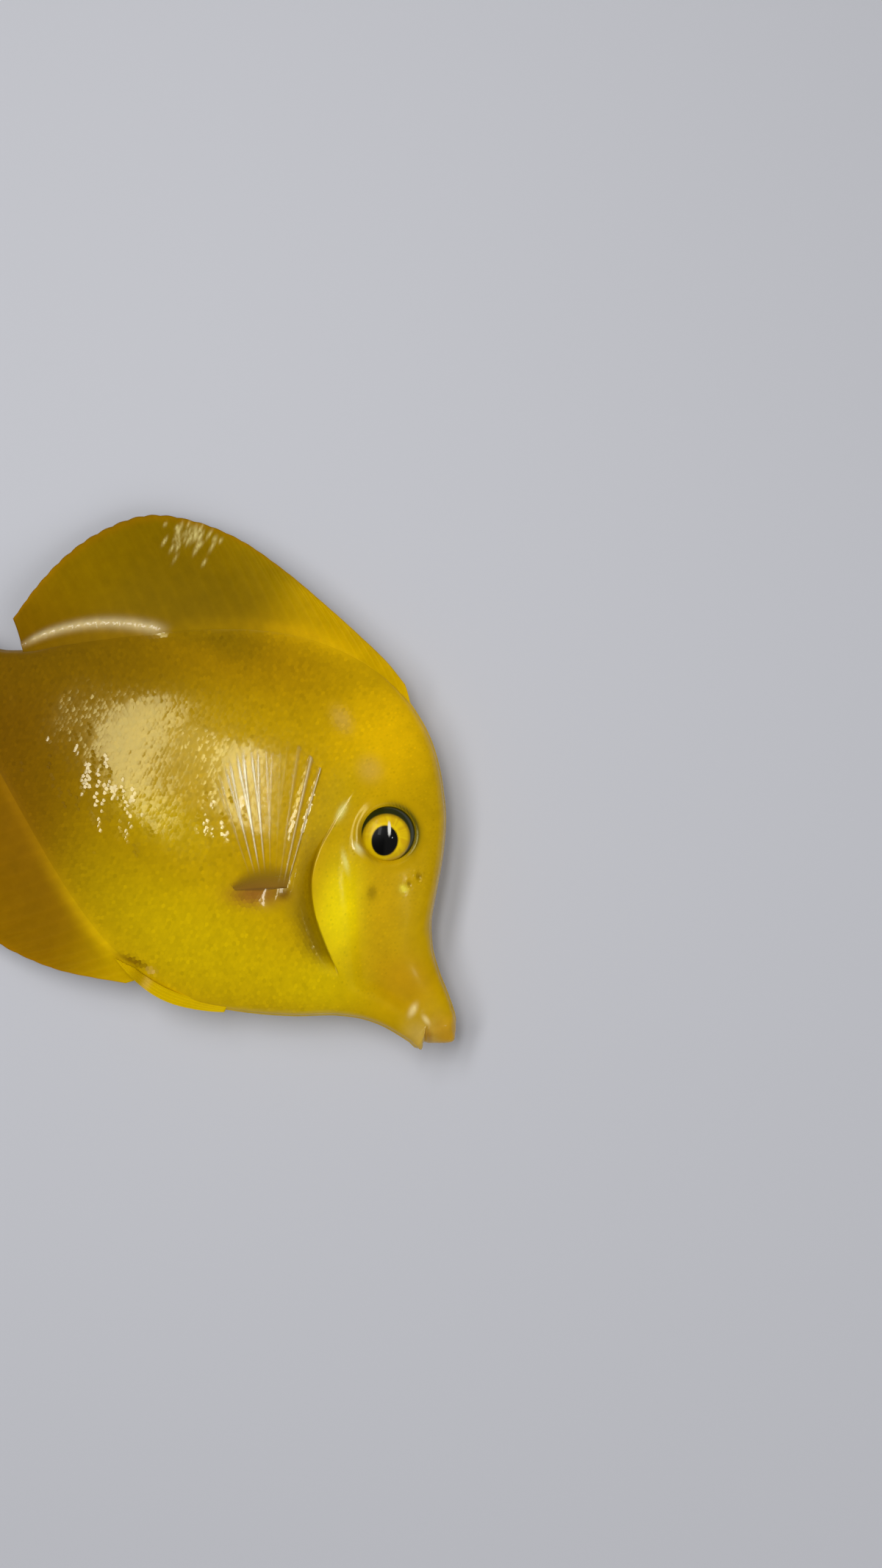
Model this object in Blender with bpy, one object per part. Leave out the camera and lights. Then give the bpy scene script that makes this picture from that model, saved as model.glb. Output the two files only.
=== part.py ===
"""A yellow tang lying on its left flank, life size, as separate solids for each part that has a name.

Lengths are in metres unless a name ends in _SHARE, which is a share of the standard length (snout to tail stalk).
The fish is drawn in its own plane: a runs back from the snout, b up towards the back, both as shares of the
standard length, and s is the distance out from the middle plane, positive on the right flank, which lies upwards.
"""

import math

import bmesh
import bpy
import numpy as np
from mathutils import Vector

# Driving sizes
STANDARD_LENGTH = 0.092
GAP = 0.0003
EDGE_HALF_WIDTH = 0.0006
REST_PAD = 0.00095
MIDDLE_HEIGHT = 0.0085
GAP_SHARE = GAP / STANDARD_LENGTH

# Outline of the body without its fins: (a, b) along the back and along the belly
BACK_LINE = [
    (-0.02, -0.128), (0.0, -0.110), (0.029, -0.084), (0.056, -0.061), (0.090, -0.022), (0.108, 0.012), (0.120, 0.050),
    (0.134, 0.095), (0.156, 0.150), (0.191, 0.207), (0.233, 0.256), (0.296, 0.300), (0.36, 0.323), (0.45, 0.330),
    (0.55, 0.310), (0.65, 0.262), (0.75, 0.196), (0.85, 0.124), (0.90, 0.086), (0.94, 0.066), (1.0, 0.064), (1.3, 0.064),
]
BELLY_LINE = [
    (-0.02, -0.185), (0.026, -0.184), (0.059, -0.181), (0.098, -0.180), (0.130, -0.185), (0.168, -0.199),
    (0.230, -0.233), (0.314, -0.269), (0.376, -0.288), (0.426, -0.296), (0.482, -0.294), (0.55, -0.278),
    (0.62, -0.248), (0.70, -0.203), (0.78, -0.152), (0.85, -0.107), (0.90, -0.080), (0.94, -0.066), (1.0, -0.064),
    (1.3, -0.064),
]
# Half the body's thickness at mid height, as a share of the standard length
HALF_THICKNESS = [
    (-0.02, 0.020), (0.02, 0.0255), (0.06, 0.0300), (0.10, 0.0370), (0.14, 0.0475), (0.18, 0.0570), (0.23, 0.0665),
    (0.30, 0.0775), (0.36, 0.0840), (0.43, 0.0860), (0.51, 0.0830), (0.60, 0.0735), (0.70, 0.0580), (0.80, 0.0420),
    (0.88, 0.0310), (0.94, 0.0255), (1.0, 0.0200), (1.3, 0.0200),
]
# How sharply the flanks close towards the back and the belly: the head is rounder than the trunk
EDGE_POWER = [(0.0, 0.85), (0.15, 0.82), (0.28, 1.25), (0.42, 2.00), (0.55, 2.45), (0.70, 2.35), (0.85, 1.85), (1.0, 1.10)]

# Rear edge of the gill cover and of the cheek: (height angle in degrees, a)
GILL_EDGE = [
    (-90, 0.150), (-60, 0.170), (-35, 0.213), (-27, 0.243), (-20, 0.271), (-8, 0.308), (1, 0.320), (10, 0.320),
    (30, 0.312), (60, 0.298), (90, 0.288),
]
CHEEK_EDGE = [
    (-90, 0.128), (-45, 0.165), (-27, 0.197), (-15, 0.223), (-2, 0.260), (8, 0.282), (30, 0.291), (60, 0.282), (90, 0.272),
]
MOUTH_PLANE_SHARE = 0.030
MOUTH_SLOPE_SHARE = 0.014
MOUTH_ANGLE = -12.0
# Where the lips end in front, seen from the side: (height angle, a) and (height angle, b)
LIP_END_A = [
    (-90, 0.0270), (-60, 0.0215), (-30, 0.0205), (-14, 0.0215), (-10, 0.0170), (5, 0.0080), (20, -0.0080),
    (35, -0.0180), (60, -0.0155), (90, -0.0065),
]
LIP_END_B = [
    (-90, -0.1870), (-60, -0.1875), (-30, -0.1820), (-14, -0.1745), (-10, -0.1725), (5, -0.1675), (20, -0.1590),
    (35, -0.1510), (60, -0.1360), (90, -0.1170),
]
LIP_ROUNDING = 80.0
HEAD_STATIONS = 14
COVERED_STATIONS = 5
TRUNK_STATIONS = 20
STALK_STATIONS = 5
STALK_START_SHARE = 0.895

# Gill covers: how deep they are let into the head and the height angles that they span
COVER_DEPTH = 0.0014
COVER_RAISE = 0.00035
COVER_LOW, COVER_HIGH = -40.0, 16.0
COVER_SOFTNESS = 9.0
COVER_ANGLES = [-40, -34, -28, -23, -18, -12, -6, 0, 5, 10, 16]
FLANK_ANGLES = [-90, -77, -63, -49] + COVER_ANGLES + [25, 38, 51, 64, 77, 90]
GILL_SLIT_DEPTH = 0.0009
GILL_SLIT_WIDTH_SHARE = 0.018

# Eyes and nostrils
EYE_A, EYE_B = 0.2335, 0.1025
EYE_RADIUS = 0.0043
EYE_HALF_DEPTH = 0.0023
EYE_PROUD = 0.00115
ORBIT_SWELL = 0.0005
ORBIT_REACH_SHARE = 0.062
NOSTRILS = [(0.158, 0.064, 0.00050), (0.166, 0.046, 0.00038)]
NOSTRIL_DEPTH = 0.0009

# Fins: the number of spines and soft rays, and the line of the fin's free edge as (a, b)
DORSAL_RAYS = 28
DORSAL_START, DORSAL_END = 0.292, 0.902
DORSAL_EDGE = [
    (0.325, 0.329), (0.361, 0.345), (0.432, 0.366), (0.50, 0.383), (0.60, 0.404), (0.679, 0.413), (0.755, 0.407),
    (0.837, 0.378), (0.895, 0.316), (0.925, 0.253), (0.940, 0.189), (0.949, 0.122),
]
ANAL_RAYS = 22
ANAL_START, ANAL_END = 0.474, 0.902
ANAL_EDGE = [
    (0.500, -0.318), (0.553, -0.336), (0.618, -0.354), (0.668, -0.360), (0.720, -0.361), (0.775, -0.350),
    (0.832, -0.318), (0.885, -0.262), (0.920, -0.200), (0.938, -0.145), (0.944, -0.104),
]
TAIL_RAYS = 17
TAIL_REAR_SHARE, TAIL_NOTCH_SHARE = 1.250, 0.016
TAIL_HALF_SPREAD_SHARE = 0.178
PECTORAL_RAYS = 14
PECTORAL_ROOT = (0.337, -0.072)
PECTORAL_ROOT_HALF_SHARE = 0.021
PECTORAL_ANGLES = (12.0, 80.0)
PECTORAL_LENGTHS = [(0.0, 0.200), (0.18, 0.240), (0.48, 0.264), (0.85, 0.178), (1.0, 0.130)]
PELVIC_RAYS = 5
PELVIC_START, PELVIC_END = 0.335, 0.535
PELVIC_DROP_SHARE = 0.030
FIN_ROWS = 7
MEMBRANE = 0.0005
RAY_RIDGE = 0.00032
TIP_THICKNESS = 0.0005

# How far the limp fins and tail sink towards what the fish lies on
DORSAL_DROOP = 0.0035
ANAL_DROOP = 0.0030
FIN_DROOP_REACH_SHARE = 0.22
TAIL_DROOP_START, TAIL_DROOP_END = 0.80, 1.22
TAIL_END_HEIGHT = 0.00045

# The folded spine on each side of the tail stalk
TAIL_SPINE_ROOT, TAIL_SPINE_TIP = 0.966, 0.902
TAIL_SPINE_HALF_HEIGHT_SHARE = 0.0085
TAIL_SPINE_THICKNESS = 0.0007

COLOURS = {
    "skin_yellow": ((0.78, 0.60, 0.03), 0.35),
    "fin_yellow": ((0.70, 0.56, 0.04), 0.40),
    "lip_tan": ((0.78, 0.55, 0.16), 0.40),
    "eye_gold": ((0.80, 0.62, 0.05), 0.12),
    "spine_white": ((0.92, 0.90, 0.80), 0.35),
}


def curve_through(points):
    """A smooth function through the points, flat beyond its ends."""
    xs, ys = np.array(points, float).T
    slopes = np.gradient(ys, xs)

    def at(x):
        x = np.clip(np.asarray(x, float), xs[0], xs[-1])
        i = np.clip(np.searchsorted(xs, x) - 1, 0, len(xs) - 2)
        span = xs[i + 1] - xs[i]
        t = (x - xs[i]) / span
        start = (1 + 2 * t) * (1 - t) ** 2 * ys[i] + t * (1 - t) ** 2 * span * slopes[i]
        end = t * t * (3 - 2 * t) * ys[i + 1] + t * t * (t - 1) * span * slopes[i + 1]
        return start + end

    return at


def line_by_length(points):
    """A function from 0..1 to (a, b) at that share of the length of a smooth line through the points."""
    points = np.array(points, float)
    steps = np.hypot(*np.diff(points, axis=0).T)
    places = np.concatenate([[0], np.cumsum(steps)]) / steps.sum()
    a_of = curve_through(np.column_stack([places, points[:, 0]]))
    b_of = curve_through(np.column_stack([places, points[:, 1]]))
    return lambda share: (a_of(share), b_of(share))


def smooth_step(low, high, x):
    t = np.clip((np.asarray(x, float) - low) / (high - low), 0, 1)
    return t * t * (3 - 2 * t)


back_at = curve_through(BACK_LINE)
belly_at = curve_through(BELLY_LINE)
thickness_at = curve_through(HALF_THICKNESS)
power_at = curve_through(EDGE_POWER)
gill_edge_at = curve_through(GILL_EDGE)
cheek_edge_at = curve_through(CHEEK_EDGE)
lip_end_a, lip_end_b = curve_through(LIP_END_A), curve_through(LIP_END_B)


def cover_window(angle):
    """1 inside the height angles that a gill cover spans, falling to 0 beyond them."""
    rise = smooth_step(COVER_LOW - COVER_SOFTNESS, COVER_LOW, angle)
    return rise * (1 - smooth_step(COVER_HIGH, COVER_HIGH + COVER_SOFTNESS, angle))


def height_angle(a, b):
    """The angle, in degrees, that stands for how high b is between belly and back."""
    middle, half = (back_at(a) + belly_at(a)) / 2, (back_at(a) - belly_at(a)) / 2
    return np.degrees(np.arcsin(np.clip((b - middle) / half, -1, 1)))


def flank(a, b):
    """Distance from the middle plane to the skin of the flank."""
    closing = np.cos(np.radians(height_angle(a, b))) ** power_at(a)
    out = EDGE_HALF_WIDTH + (thickness_at(a) * STANDARD_LENGTH - EDGE_HALF_WIDTH) * closing
    from_eye = np.hypot(a - EYE_A, b - EYE_B) / ORBIT_REACH_SHARE
    return out + ORBIT_SWELL * np.exp(-(from_eye**2)) * closing


def droop(a, b):
    """How far the limp fins and tail sink below the middle plane."""
    above = np.clip(b - back_at(a), 0, None) / FIN_DROOP_REACH_SHARE
    below = np.clip(belly_at(a) - b, 0, None) / FIN_DROOP_REACH_SHARE
    tail = smooth_step(TAIL_DROOP_START, TAIL_DROOP_END, a) * (MIDDLE_HEIGHT - TAIL_END_HEIGHT)
    fins = (DORSAL_DROOP * above**2 + ANAL_DROOP * below**2) * (1 - smooth_step(0.92, 1.0, a))
    return tail + fins


def placed(a, b, s, lowest=0.0):
    """Points in space from the fish's own a, b and s, with nothing lower than the given height."""
    a, b, s = np.broadcast_arrays(a, b, s)
    height = np.maximum(MIDDLE_HEIGHT - droop(a, b) + s, lowest)
    return np.stack([-a * STANDARD_LENGTH, b * STANDARD_LENGTH, height], axis=-1)


def new_collection(name):
    collection = bpy.data.collections.new(name)
    bpy.context.scene.collection.children.link(collection)
    return collection


def material(name):
    made = bpy.data.materials.get(name)
    if made is None:
        colour, roughness = COLOURS[name]
        made = bpy.data.materials.new(name)
        made.use_nodes = True
        shader = made.node_tree.nodes["Principled BSDF"]
        shader.inputs["Base Color"].default_value = (*colour, 1)
        shader.inputs["Roughness"].default_value = roughness
    return made


def two_sided(name, upper, lower, material_name, collection):
    """A closed solid between two grids of points that are split alike and joined along their four sides."""
    rows, columns = upper.shape[:2]
    offset = rows * columns
    faces = []

    def corner(i, j, side):
        return side * offset + i * columns + j

    for i in range(rows - 1):
        for j in range(columns - 1):
            for side in (0, 1):
                one, two = corner(i, j, side), corner(i + 1, j, side)
                three, four = corner(i + 1, j + 1, side), corner(i, j + 1, side)
                halves = [(one, two, three), (one, three, four)]
                faces += halves if side == 0 else [half[::-1] for half in halves]
    rim = [(i, 0) for i in range(rows)] + [(rows - 1, j) for j in range(1, columns)]
    rim += [(i, columns - 1) for i in range(rows - 2, -1, -1)] + [(0, j) for j in range(columns - 2, 0, -1)]
    for here, after in zip(rim, rim[1:] + rim[:1]):
        faces.append((corner(*here, 0), corner(*here, 1), corner(*after, 1)))
        faces.append((corner(*here, 0), corner(*after, 1), corner(*after, 0)))
    points = np.concatenate([upper.reshape(-1, 3), lower.reshape(-1, 3)])
    mesh = bpy.data.meshes.new(name)
    mesh.from_pydata(points.tolist(), [], faces)
    worked = bmesh.new()
    worked.from_mesh(mesh)
    bmesh.ops.recalc_face_normals(worked, faces=worked.faces)
    worked.to_mesh(mesh)
    worked.free()
    return named_object(name, mesh, material_name, collection)


def named_object(name, mesh, material_name, collection):
    made = bpy.data.objects.new(name, mesh)
    collection.objects.link(made)
    if material_name:
        mesh.materials.append(material(material_name))
        mesh.shade_smooth()
    return made


def body_grid(a, angles, depth=0.0):
    """Points of the right and the left flank at stations a, one row each, and height angles in degrees."""
    middle, half = (back_at(a) + belly_at(a)) / 2, (back_at(a) - belly_at(a)) / 2
    b = middle + half * np.sin(np.radians(angles))
    return b, np.maximum(flank(a, b) - depth, EDGE_HALF_WIDTH)


def make_head(fish):
    """From the plane of the mouth to the gill opening, let in where the gill covers lie."""
    angles = np.array([FLANK_ANGLES], float)
    front = MOUTH_PLANE_SHARE - MOUTH_SLOPE_SHARE * np.sin(np.radians(angles))
    cheek, gill = cheek_edge_at(angles), gill_edge_at(angles)
    along = np.linspace(0, 1, HEAD_STATIONS)[:, None]
    covered = np.linspace(0, 1, COVERED_STATIONS)[:, None]
    start = cheek + GAP_SHARE
    a = np.vstack([front + (cheek - front) * along, start + (gill - start) * covered])
    depth = np.vstack([np.zeros_like(front + along), COVER_DEPTH * cover_window(angles) * np.ones_like(covered)])
    b, s = body_grid(a, angles, depth)
    return two_sided("head", placed(a, b, s), placed(a, b, -s), "skin_yellow", fish)


def gill_slit(a, angles):
    """How far the shoulder is sunk just behind the gill cover."""
    behind = (a - gill_edge_at(angles)) / GILL_SLIT_WIDTH_SHARE
    return GILL_SLIT_DEPTH * np.exp(-(behind**2)) * cover_window(angles)


def make_trunk(fish):
    angles = np.array([FLANK_ANGLES], float)
    start = gill_edge_at(angles) + GAP_SHARE
    along = np.linspace(0, 1, TRUNK_STATIONS)[:, None]
    a = start + (STALK_START_SHARE - start) * along
    b, s = body_grid(a, angles, gill_slit(a, angles))
    return two_sided("trunk", placed(a, b, s), placed(a, b, -s, REST_PAD), "skin_yellow", fish)


def make_tail_stalk(fish):
    a = np.linspace(STALK_START_SHARE + GAP_SHARE, 1, STALK_STATIONS)[:, None]
    b, s = body_grid(a, np.array([FLANK_ANGLES], float))
    return two_sided("tail_stalk", placed(a, b, s), placed(a, b, -s), "skin_yellow", fish)


def make_gill_cover(name, side, fish):
    """A thin plate let into the side of the head, its free rear edge standing a little proud."""
    angles = np.array([COVER_ANGLES], float)
    along = np.linspace(0, 1, COVERED_STATIONS)[:, None]
    start, end = cheek_edge_at(angles) + 2.5 * GAP_SHARE, gill_edge_at(angles)
    a = start + (end - start) * along
    b, inner = body_grid(a, angles, COVER_DEPTH - GAP)
    outer = body_grid(a, angles)[1] + COVER_RAISE * along
    return two_sided(name, placed(a, b, side * outer), placed(a, b, side * inner), "skin_yellow", fish)


def make_lip(name, low, high, fish):
    """Part of the blunt end of the snout between two height angles, rounded forwards to the line of the lips."""
    angles = np.linspace(low, high, 9)[None, :]
    turn = np.radians(np.linspace(0, LIP_ROUNDING, 7))[:, None]
    base = MOUTH_PLANE_SHARE - MOUTH_SLOPE_SHARE * np.sin(np.radians(angles)) - GAP_SHARE
    base_b, base_s = body_grid(base, angles)
    forward = np.sin(turn) / math.sin(math.radians(LIP_ROUNDING))
    a = base + (lip_end_a(angles) - base) * forward
    b = base_b + (lip_end_b(angles) - base_b) * forward
    s = base_s * np.cos(turn)
    return two_sided(name, placed(a, b, s), placed(a, b, -s), "lip_tan", fish)


def surface_direction(a, b, side):
    """The outward direction of the flank at a point, in space."""
    step = 0.004
    rise_back = (flank(a + step, b) - flank(a - step, b)) / (2 * step * STANDARD_LENGTH)
    rise_up = (flank(a, b + step) - flank(a, b - step)) / (2 * step * STANDARD_LENGTH)
    direction = np.array([float(rise_back), float(-rise_up), 1.0]) * (1, 1, side)
    return direction / np.linalg.norm(direction)


def ellipsoid(name, centre, direction, radius, half_depth, material_name, collection):
    """A flattened ball whose short axis points along direction."""
    mesh = bpy.data.meshes.new(name)
    ball = bmesh.new()
    bmesh.ops.create_uvsphere(ball, u_segments=20, v_segments=12, radius=1)
    ball.to_mesh(mesh)
    ball.free()
    made = named_object(name, mesh, material_name, collection)
    made.scale = (radius, radius, half_depth)
    made.location = centre
    made.rotation_mode = "QUATERNION"
    made.rotation_quaternion = as_vector(direction).to_track_quat("Z", "Y")
    return made


def as_vector(values):
    return Vector(tuple(float(v) for v in values))


def cut(target, cutter):
    cutter.hide_render = True
    cutter.display_type = "WIRE"
    modifier = target.modifiers.new("cut_" + cutter.name, "BOOLEAN")
    modifier.operation = "DIFFERENCE"
    modifier.solver = "EXACT"
    modifier.object = cutter


def make_eye(name, side, head, fish, cutters):
    direction = surface_direction(EYE_A, EYE_B, side)
    surface = placed(EYE_A, EYE_B, side * float(flank(EYE_A, EYE_B)))
    centre = surface + direction * (EYE_PROUD - EYE_HALF_DEPTH)
    eye = ellipsoid(name, centre, direction, EYE_RADIUS, EYE_HALF_DEPTH, "eye_gold", fish)
    socket = ellipsoid(name + "_socket", centre, direction, EYE_RADIUS + GAP, EYE_HALF_DEPTH + GAP, None, cutters)
    cut(head, socket)
    for index, (a, b, radius) in enumerate(NOSTRILS):
        at = placed(a, b, side * float(flank(a, b)))
        pit = ellipsoid(f"{name}_nostril_{index}", at, surface_direction(a, b, side), radius, NOSTRIL_DEPTH, None, cutters)
        cut(head, pit)
    return eye


def ray_columns(rays):
    """Shares across a fin at each ray and each membrane between rays, and how far each is a ray."""
    count = 2 * rays - 1
    return np.linspace(0, 1, count), (np.arange(count) % 2 == 0).astype(float)


def fin_thickness(along, ridge, root):
    """Thickness from the root, which is as thick as what carries it, to the free edge."""
    thin = MEMBRANE + RAY_RIDGE * ridge * (1 - 0.6 * along)
    return thin + (root - thin) * (1 - along) ** 4


def make_edge_fin(name, rays, start, end, line_at, side, edge, fish):
    """The dorsal or anal fin: rays from the body's edge to the fin's free edge, leaning back."""
    across, ridge = ray_columns(rays)
    root_a = start + (end - start) * across
    root_b = line_at(root_a) + side * GAP_SHARE
    tip_a, tip_b = line_by_length(edge)(across**0.86)
    along = np.linspace(0, 1, FIN_ROWS)[:, None]
    bow = 0.10 * along * (1 - along)
    a = root_a + (tip_a - root_a) * along - bow * (tip_b - root_b) * side
    b = root_b + (tip_b - root_b) * along + bow * (tip_a - root_a) * side
    clear = line_at(a) + side * GAP_SHARE
    b = np.maximum(b, clear) if side > 0 else np.minimum(b, clear)
    half = fin_thickness(along, ridge, 2 * EDGE_HALF_WIDTH) / 2
    return two_sided(name, placed(a, b, half), placed(a, b, -half), "fin_yellow", fish)


def make_tail_fin(fish):
    across, ridge = ray_columns(TAIL_RAYS)
    spread = 2 * across - 1
    root_a = np.full_like(spread, 1 + GAP_SHARE)
    root_b = spread * back_at(1.0)
    tip_a = TAIL_REAR_SHARE - TAIL_NOTCH_SHARE * (1 - spread**2)
    tip_b = spread * TAIL_HALF_SPREAD_SHARE
    along = np.linspace(0, 1, FIN_ROWS + 1)[:, None]
    a = root_a + (tip_a - root_a) * along
    b = root_b + (tip_b - root_b) * along**0.9
    root = 2 * body_grid(np.ones((1, 1)), np.degrees(np.arcsin(spread))[None, :])[1]
    half = fin_thickness(along, ridge, root) / 2
    return two_sided("tail_fin", placed(a, b, half), placed(a, b, -half), "fin_yellow", fish)


def make_pectoral_fin(name, side, fish):
    """A fan laid flat on the flank, opened upwards and backwards from its root behind the gill cover."""
    across, ridge = ray_columns(PECTORAL_RAYS)
    lean = np.radians(PECTORAL_ANGLES[0] + (PECTORAL_ANGLES[1] - PECTORAL_ANGLES[0]) * across)
    root_a = PECTORAL_ROOT[0] + 0.3 * PECTORAL_ROOT_HALF_SHARE * (across - 0.5)
    root_b = PECTORAL_ROOT[1] + PECTORAL_ROOT_HALF_SHARE * (1 - 2 * across)
    length = curve_through(PECTORAL_LENGTHS)(across)
    along = np.linspace(0, 1, FIN_ROWS)[:, None]
    a = root_a + np.sin(lean) * length * along
    b = root_b + np.cos(lean) * length * along
    inner = flank(a, b) - gill_slit(a, height_angle(a, b)) + GAP
    outer = inner + fin_thickness(along, ridge, 0.0011)
    upper = placed(a, b, side * outer)
    lower = placed(a, b, side * inner, REST_PAD - GAP if side < 0 else 0.0)
    return two_sided(name, upper, lower, "fin_yellow", fish)


def make_pelvic_fin(name, side, fish):
    """A narrow blade folded back under the keel of the belly, passing beside the front of the anal fin."""
    across, ridge = ray_columns(PELVIC_RAYS)
    along = np.linspace(0, 1, FIN_ROWS + 2)[:, None]
    a = PELVIC_START + (PELVIC_END - PELVIC_START) * along - 0.035 * across * along**2
    depth = PELVIC_DROP_SHARE * (0.30 + 0.70 * np.sin(np.pi * (0.12 + 0.80 * along)))
    b = belly_at(a) - GAP_SHARE - depth * (1 - across)
    apart = 0.00015 + (EDGE_HALF_WIDTH + GAP) * smooth_step(0.37, 0.455, a)
    outer = apart + np.maximum(fin_thickness(along, ridge, 0.0007), MEMBRANE)
    return two_sided(name, placed(a, b, side * outer), placed(a, b, side * apart), "fin_yellow", fish)


def make_tail_spine(name, side, fish):
    """The folded blade on the side of the tail stalk, its point forwards."""
    along = np.linspace(0, 1, 7)[:, None]
    across = np.linspace(-1, 1, 5)[None, :]
    a = TAIL_SPINE_ROOT + (TAIL_SPINE_TIP - TAIL_SPINE_ROOT) * along
    b = across * TAIL_SPINE_HALF_HEIGHT_SHARE * np.sqrt(1 - (0.97 * along) ** 2) * np.ones_like(a)
    a = np.broadcast_to(a, b.shape)
    inner = flank(a, b) + GAP
    outer = inner + TAIL_SPINE_THICKNESS * (1 - 0.45 * across**2) * (1 - 0.4 * along)
    return two_sided(name, placed(a, b, side * outer), placed(a, b, side * inner), "spine_white", fish)


def centre_on_origin(collections):
    """Moves everything so that the origin lies under the middle of the fish's box, at the level that it rests on."""
    bpy.context.view_layer.update()
    graph = bpy.context.evaluated_depsgraph_get()
    corners = []
    for thing in collections[0].objects:
        evaluated = thing.evaluated_get(graph)
        corners += [evaluated.matrix_world @ as_vector(corner) for corner in evaluated.bound_box]
    middle = [(min(c[k] for c in corners) + max(c[k] for c in corners)) / 2 for k in (0, 1)]
    shift = as_vector((-middle[0], -middle[1], 0))
    for collection in collections:
        for thing in collection.objects:
            thing.location += shift


def main():
    for thing in list(bpy.data.objects):
        bpy.data.objects.remove(thing)
    fish, cutters = new_collection("yellow_tang"), new_collection("cutters")
    head = make_head(fish)
    make_trunk(fish)
    make_tail_stalk(fish)
    make_lip("upper_lip", MOUTH_ANGLE + 2.5, 90, fish)
    make_lip("lower_lip", -90, MOUTH_ANGLE - 2.5, fish)
    make_edge_fin("dorsal_fin", DORSAL_RAYS, DORSAL_START, DORSAL_END, back_at, 1, DORSAL_EDGE, fish)
    make_edge_fin("anal_fin", ANAL_RAYS, ANAL_START, ANAL_END, belly_at, -1, ANAL_EDGE, fish)
    make_tail_fin(fish)
    for word, side in (("right", 1), ("left", -1)):
        make_eye("eye_" + word, side, head, fish, cutters)
        make_gill_cover("gill_cover_" + word, side, fish)
        make_pectoral_fin("pectoral_fin_" + word, side, fish)
        make_pelvic_fin("pelvic_fin_" + word, side, fish)
        make_tail_spine("tail_spine_" + word, side, fish)
    centre_on_origin((fish, cutters))


main()
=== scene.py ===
"""Looks of the yellow tang: a fine skin with scales over it, fins with rays, eyes, tail spines and light.

Lengths are in metres unless a name ends in _SHARE, which is a share of the standard length. The fish is
drawn in its own plane as in the solids' source: a runs back from the snout, b up towards the back, and s is
the distance out from the middle plane, positive on the right flank, which lies upwards.
"""

import math

import bpy
import numpy as np
from mathutils import Matrix, Vector


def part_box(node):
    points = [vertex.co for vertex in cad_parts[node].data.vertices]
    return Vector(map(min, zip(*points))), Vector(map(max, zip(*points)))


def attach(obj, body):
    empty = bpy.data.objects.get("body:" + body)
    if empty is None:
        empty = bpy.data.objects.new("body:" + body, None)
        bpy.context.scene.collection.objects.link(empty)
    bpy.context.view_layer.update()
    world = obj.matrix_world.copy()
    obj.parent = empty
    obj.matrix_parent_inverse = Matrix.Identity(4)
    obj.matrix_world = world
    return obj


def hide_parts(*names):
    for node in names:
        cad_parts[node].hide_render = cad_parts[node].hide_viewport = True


STANDARD_LENGTH = 0.092
GAP = 0.0003
EDGE_HALF_WIDTH = 0.0006
REST_PAD = 0.00095
MIDDLE_HEIGHT = 0.0085

BACK_LINE = [
    (-0.02, -0.128), (0.0, -0.11), (0.029, -0.084), (0.056, -0.061), (0.09, -0.022), (0.108, 0.012),
    (0.12, 0.05), (0.134, 0.095), (0.156, 0.15), (0.191, 0.207), (0.233, 0.256), (0.296, 0.3),
    (0.36, 0.323), (0.45, 0.33), (0.55, 0.31), (0.65, 0.262), (0.75, 0.196), (0.85, 0.124), (0.9, 0.086),
    (0.94, 0.066), (1.0, 0.064), (1.3, 0.064),
]
BELLY_LINE = [
    (-0.02, -0.185), (0.026, -0.184), (0.059, -0.181), (0.098, -0.18), (0.13, -0.185), (0.168, -0.199),
    (0.23, -0.233), (0.314, -0.269), (0.376, -0.288), (0.426, -0.296), (0.482, -0.294), (0.55, -0.278),
    (0.62, -0.248), (0.7, -0.203), (0.78, -0.152), (0.85, -0.107), (0.9, -0.08), (0.94, -0.066),
    (1.0, -0.064), (1.3, -0.064),
]
HALF_THICKNESS = [
    (-0.02, 0.02), (0.02, 0.0255), (0.06, 0.03), (0.1, 0.037), (0.14, 0.0475), (0.18, 0.057),
    (0.23, 0.0665), (0.3, 0.0775), (0.36, 0.084), (0.43, 0.086), (0.51, 0.083), (0.6, 0.0735),
    (0.7, 0.058), (0.8, 0.042), (0.88, 0.031), (0.94, 0.0255), (1.0, 0.02), (1.3, 0.02),
]
EDGE_POWER = [
    (0.0, 0.85), (0.15, 0.82), (0.28, 1.25), (0.42, 2.0), (0.55, 2.45), (0.7, 2.35), (0.85, 1.85),
    (1.0, 1.1),
]
GILL_EDGE = [
    (-90, 0.15), (-60, 0.17), (-35, 0.213), (-27, 0.243), (-20, 0.271), (-8, 0.308), (1, 0.32),
    (10, 0.32), (30, 0.312), (60, 0.298), (90, 0.288),
]
CHEEK_EDGE = [
    (-90, 0.128), (-45, 0.165), (-27, 0.197), (-15, 0.223), (-2, 0.26), (8, 0.282), (30, 0.291),
    (60, 0.282), (90, 0.272),
]
MOUTH_PLANE_SHARE = 0.03
MOUTH_SLOPE_SHARE = 0.014
MOUTH_ANGLE = -12.0
# Where the lips end: height angle, a, b
LIP_END = np.array([
    (-90, 0.027, -0.187), (-60, 0.0215, -0.1875), (-30, 0.0205, -0.182), (-14, 0.0215, -0.1745),
    (-10, 0.017, -0.1725), (5, 0.008, -0.1675), (20, -0.008, -0.159), (35, -0.018, -0.151),
    (60, -0.0155, -0.136), (90, -0.0065, -0.117),
])

COVER_RAISE = 0.00035
COVER_LOW, COVER_HIGH = -40.0, 16.0
COVER_SOFTNESS = 9.0
GILL_SLIT_DEPTH = 0.0009
GILL_SLIT_WIDTH_SHARE = 0.018

EYE_A, EYE_B = 0.2335, 0.1025
EYE_RADIUS = 0.0043
EYE_HALF_DEPTH = 0.0023
EYE_PROUD = 0.00115
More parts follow.
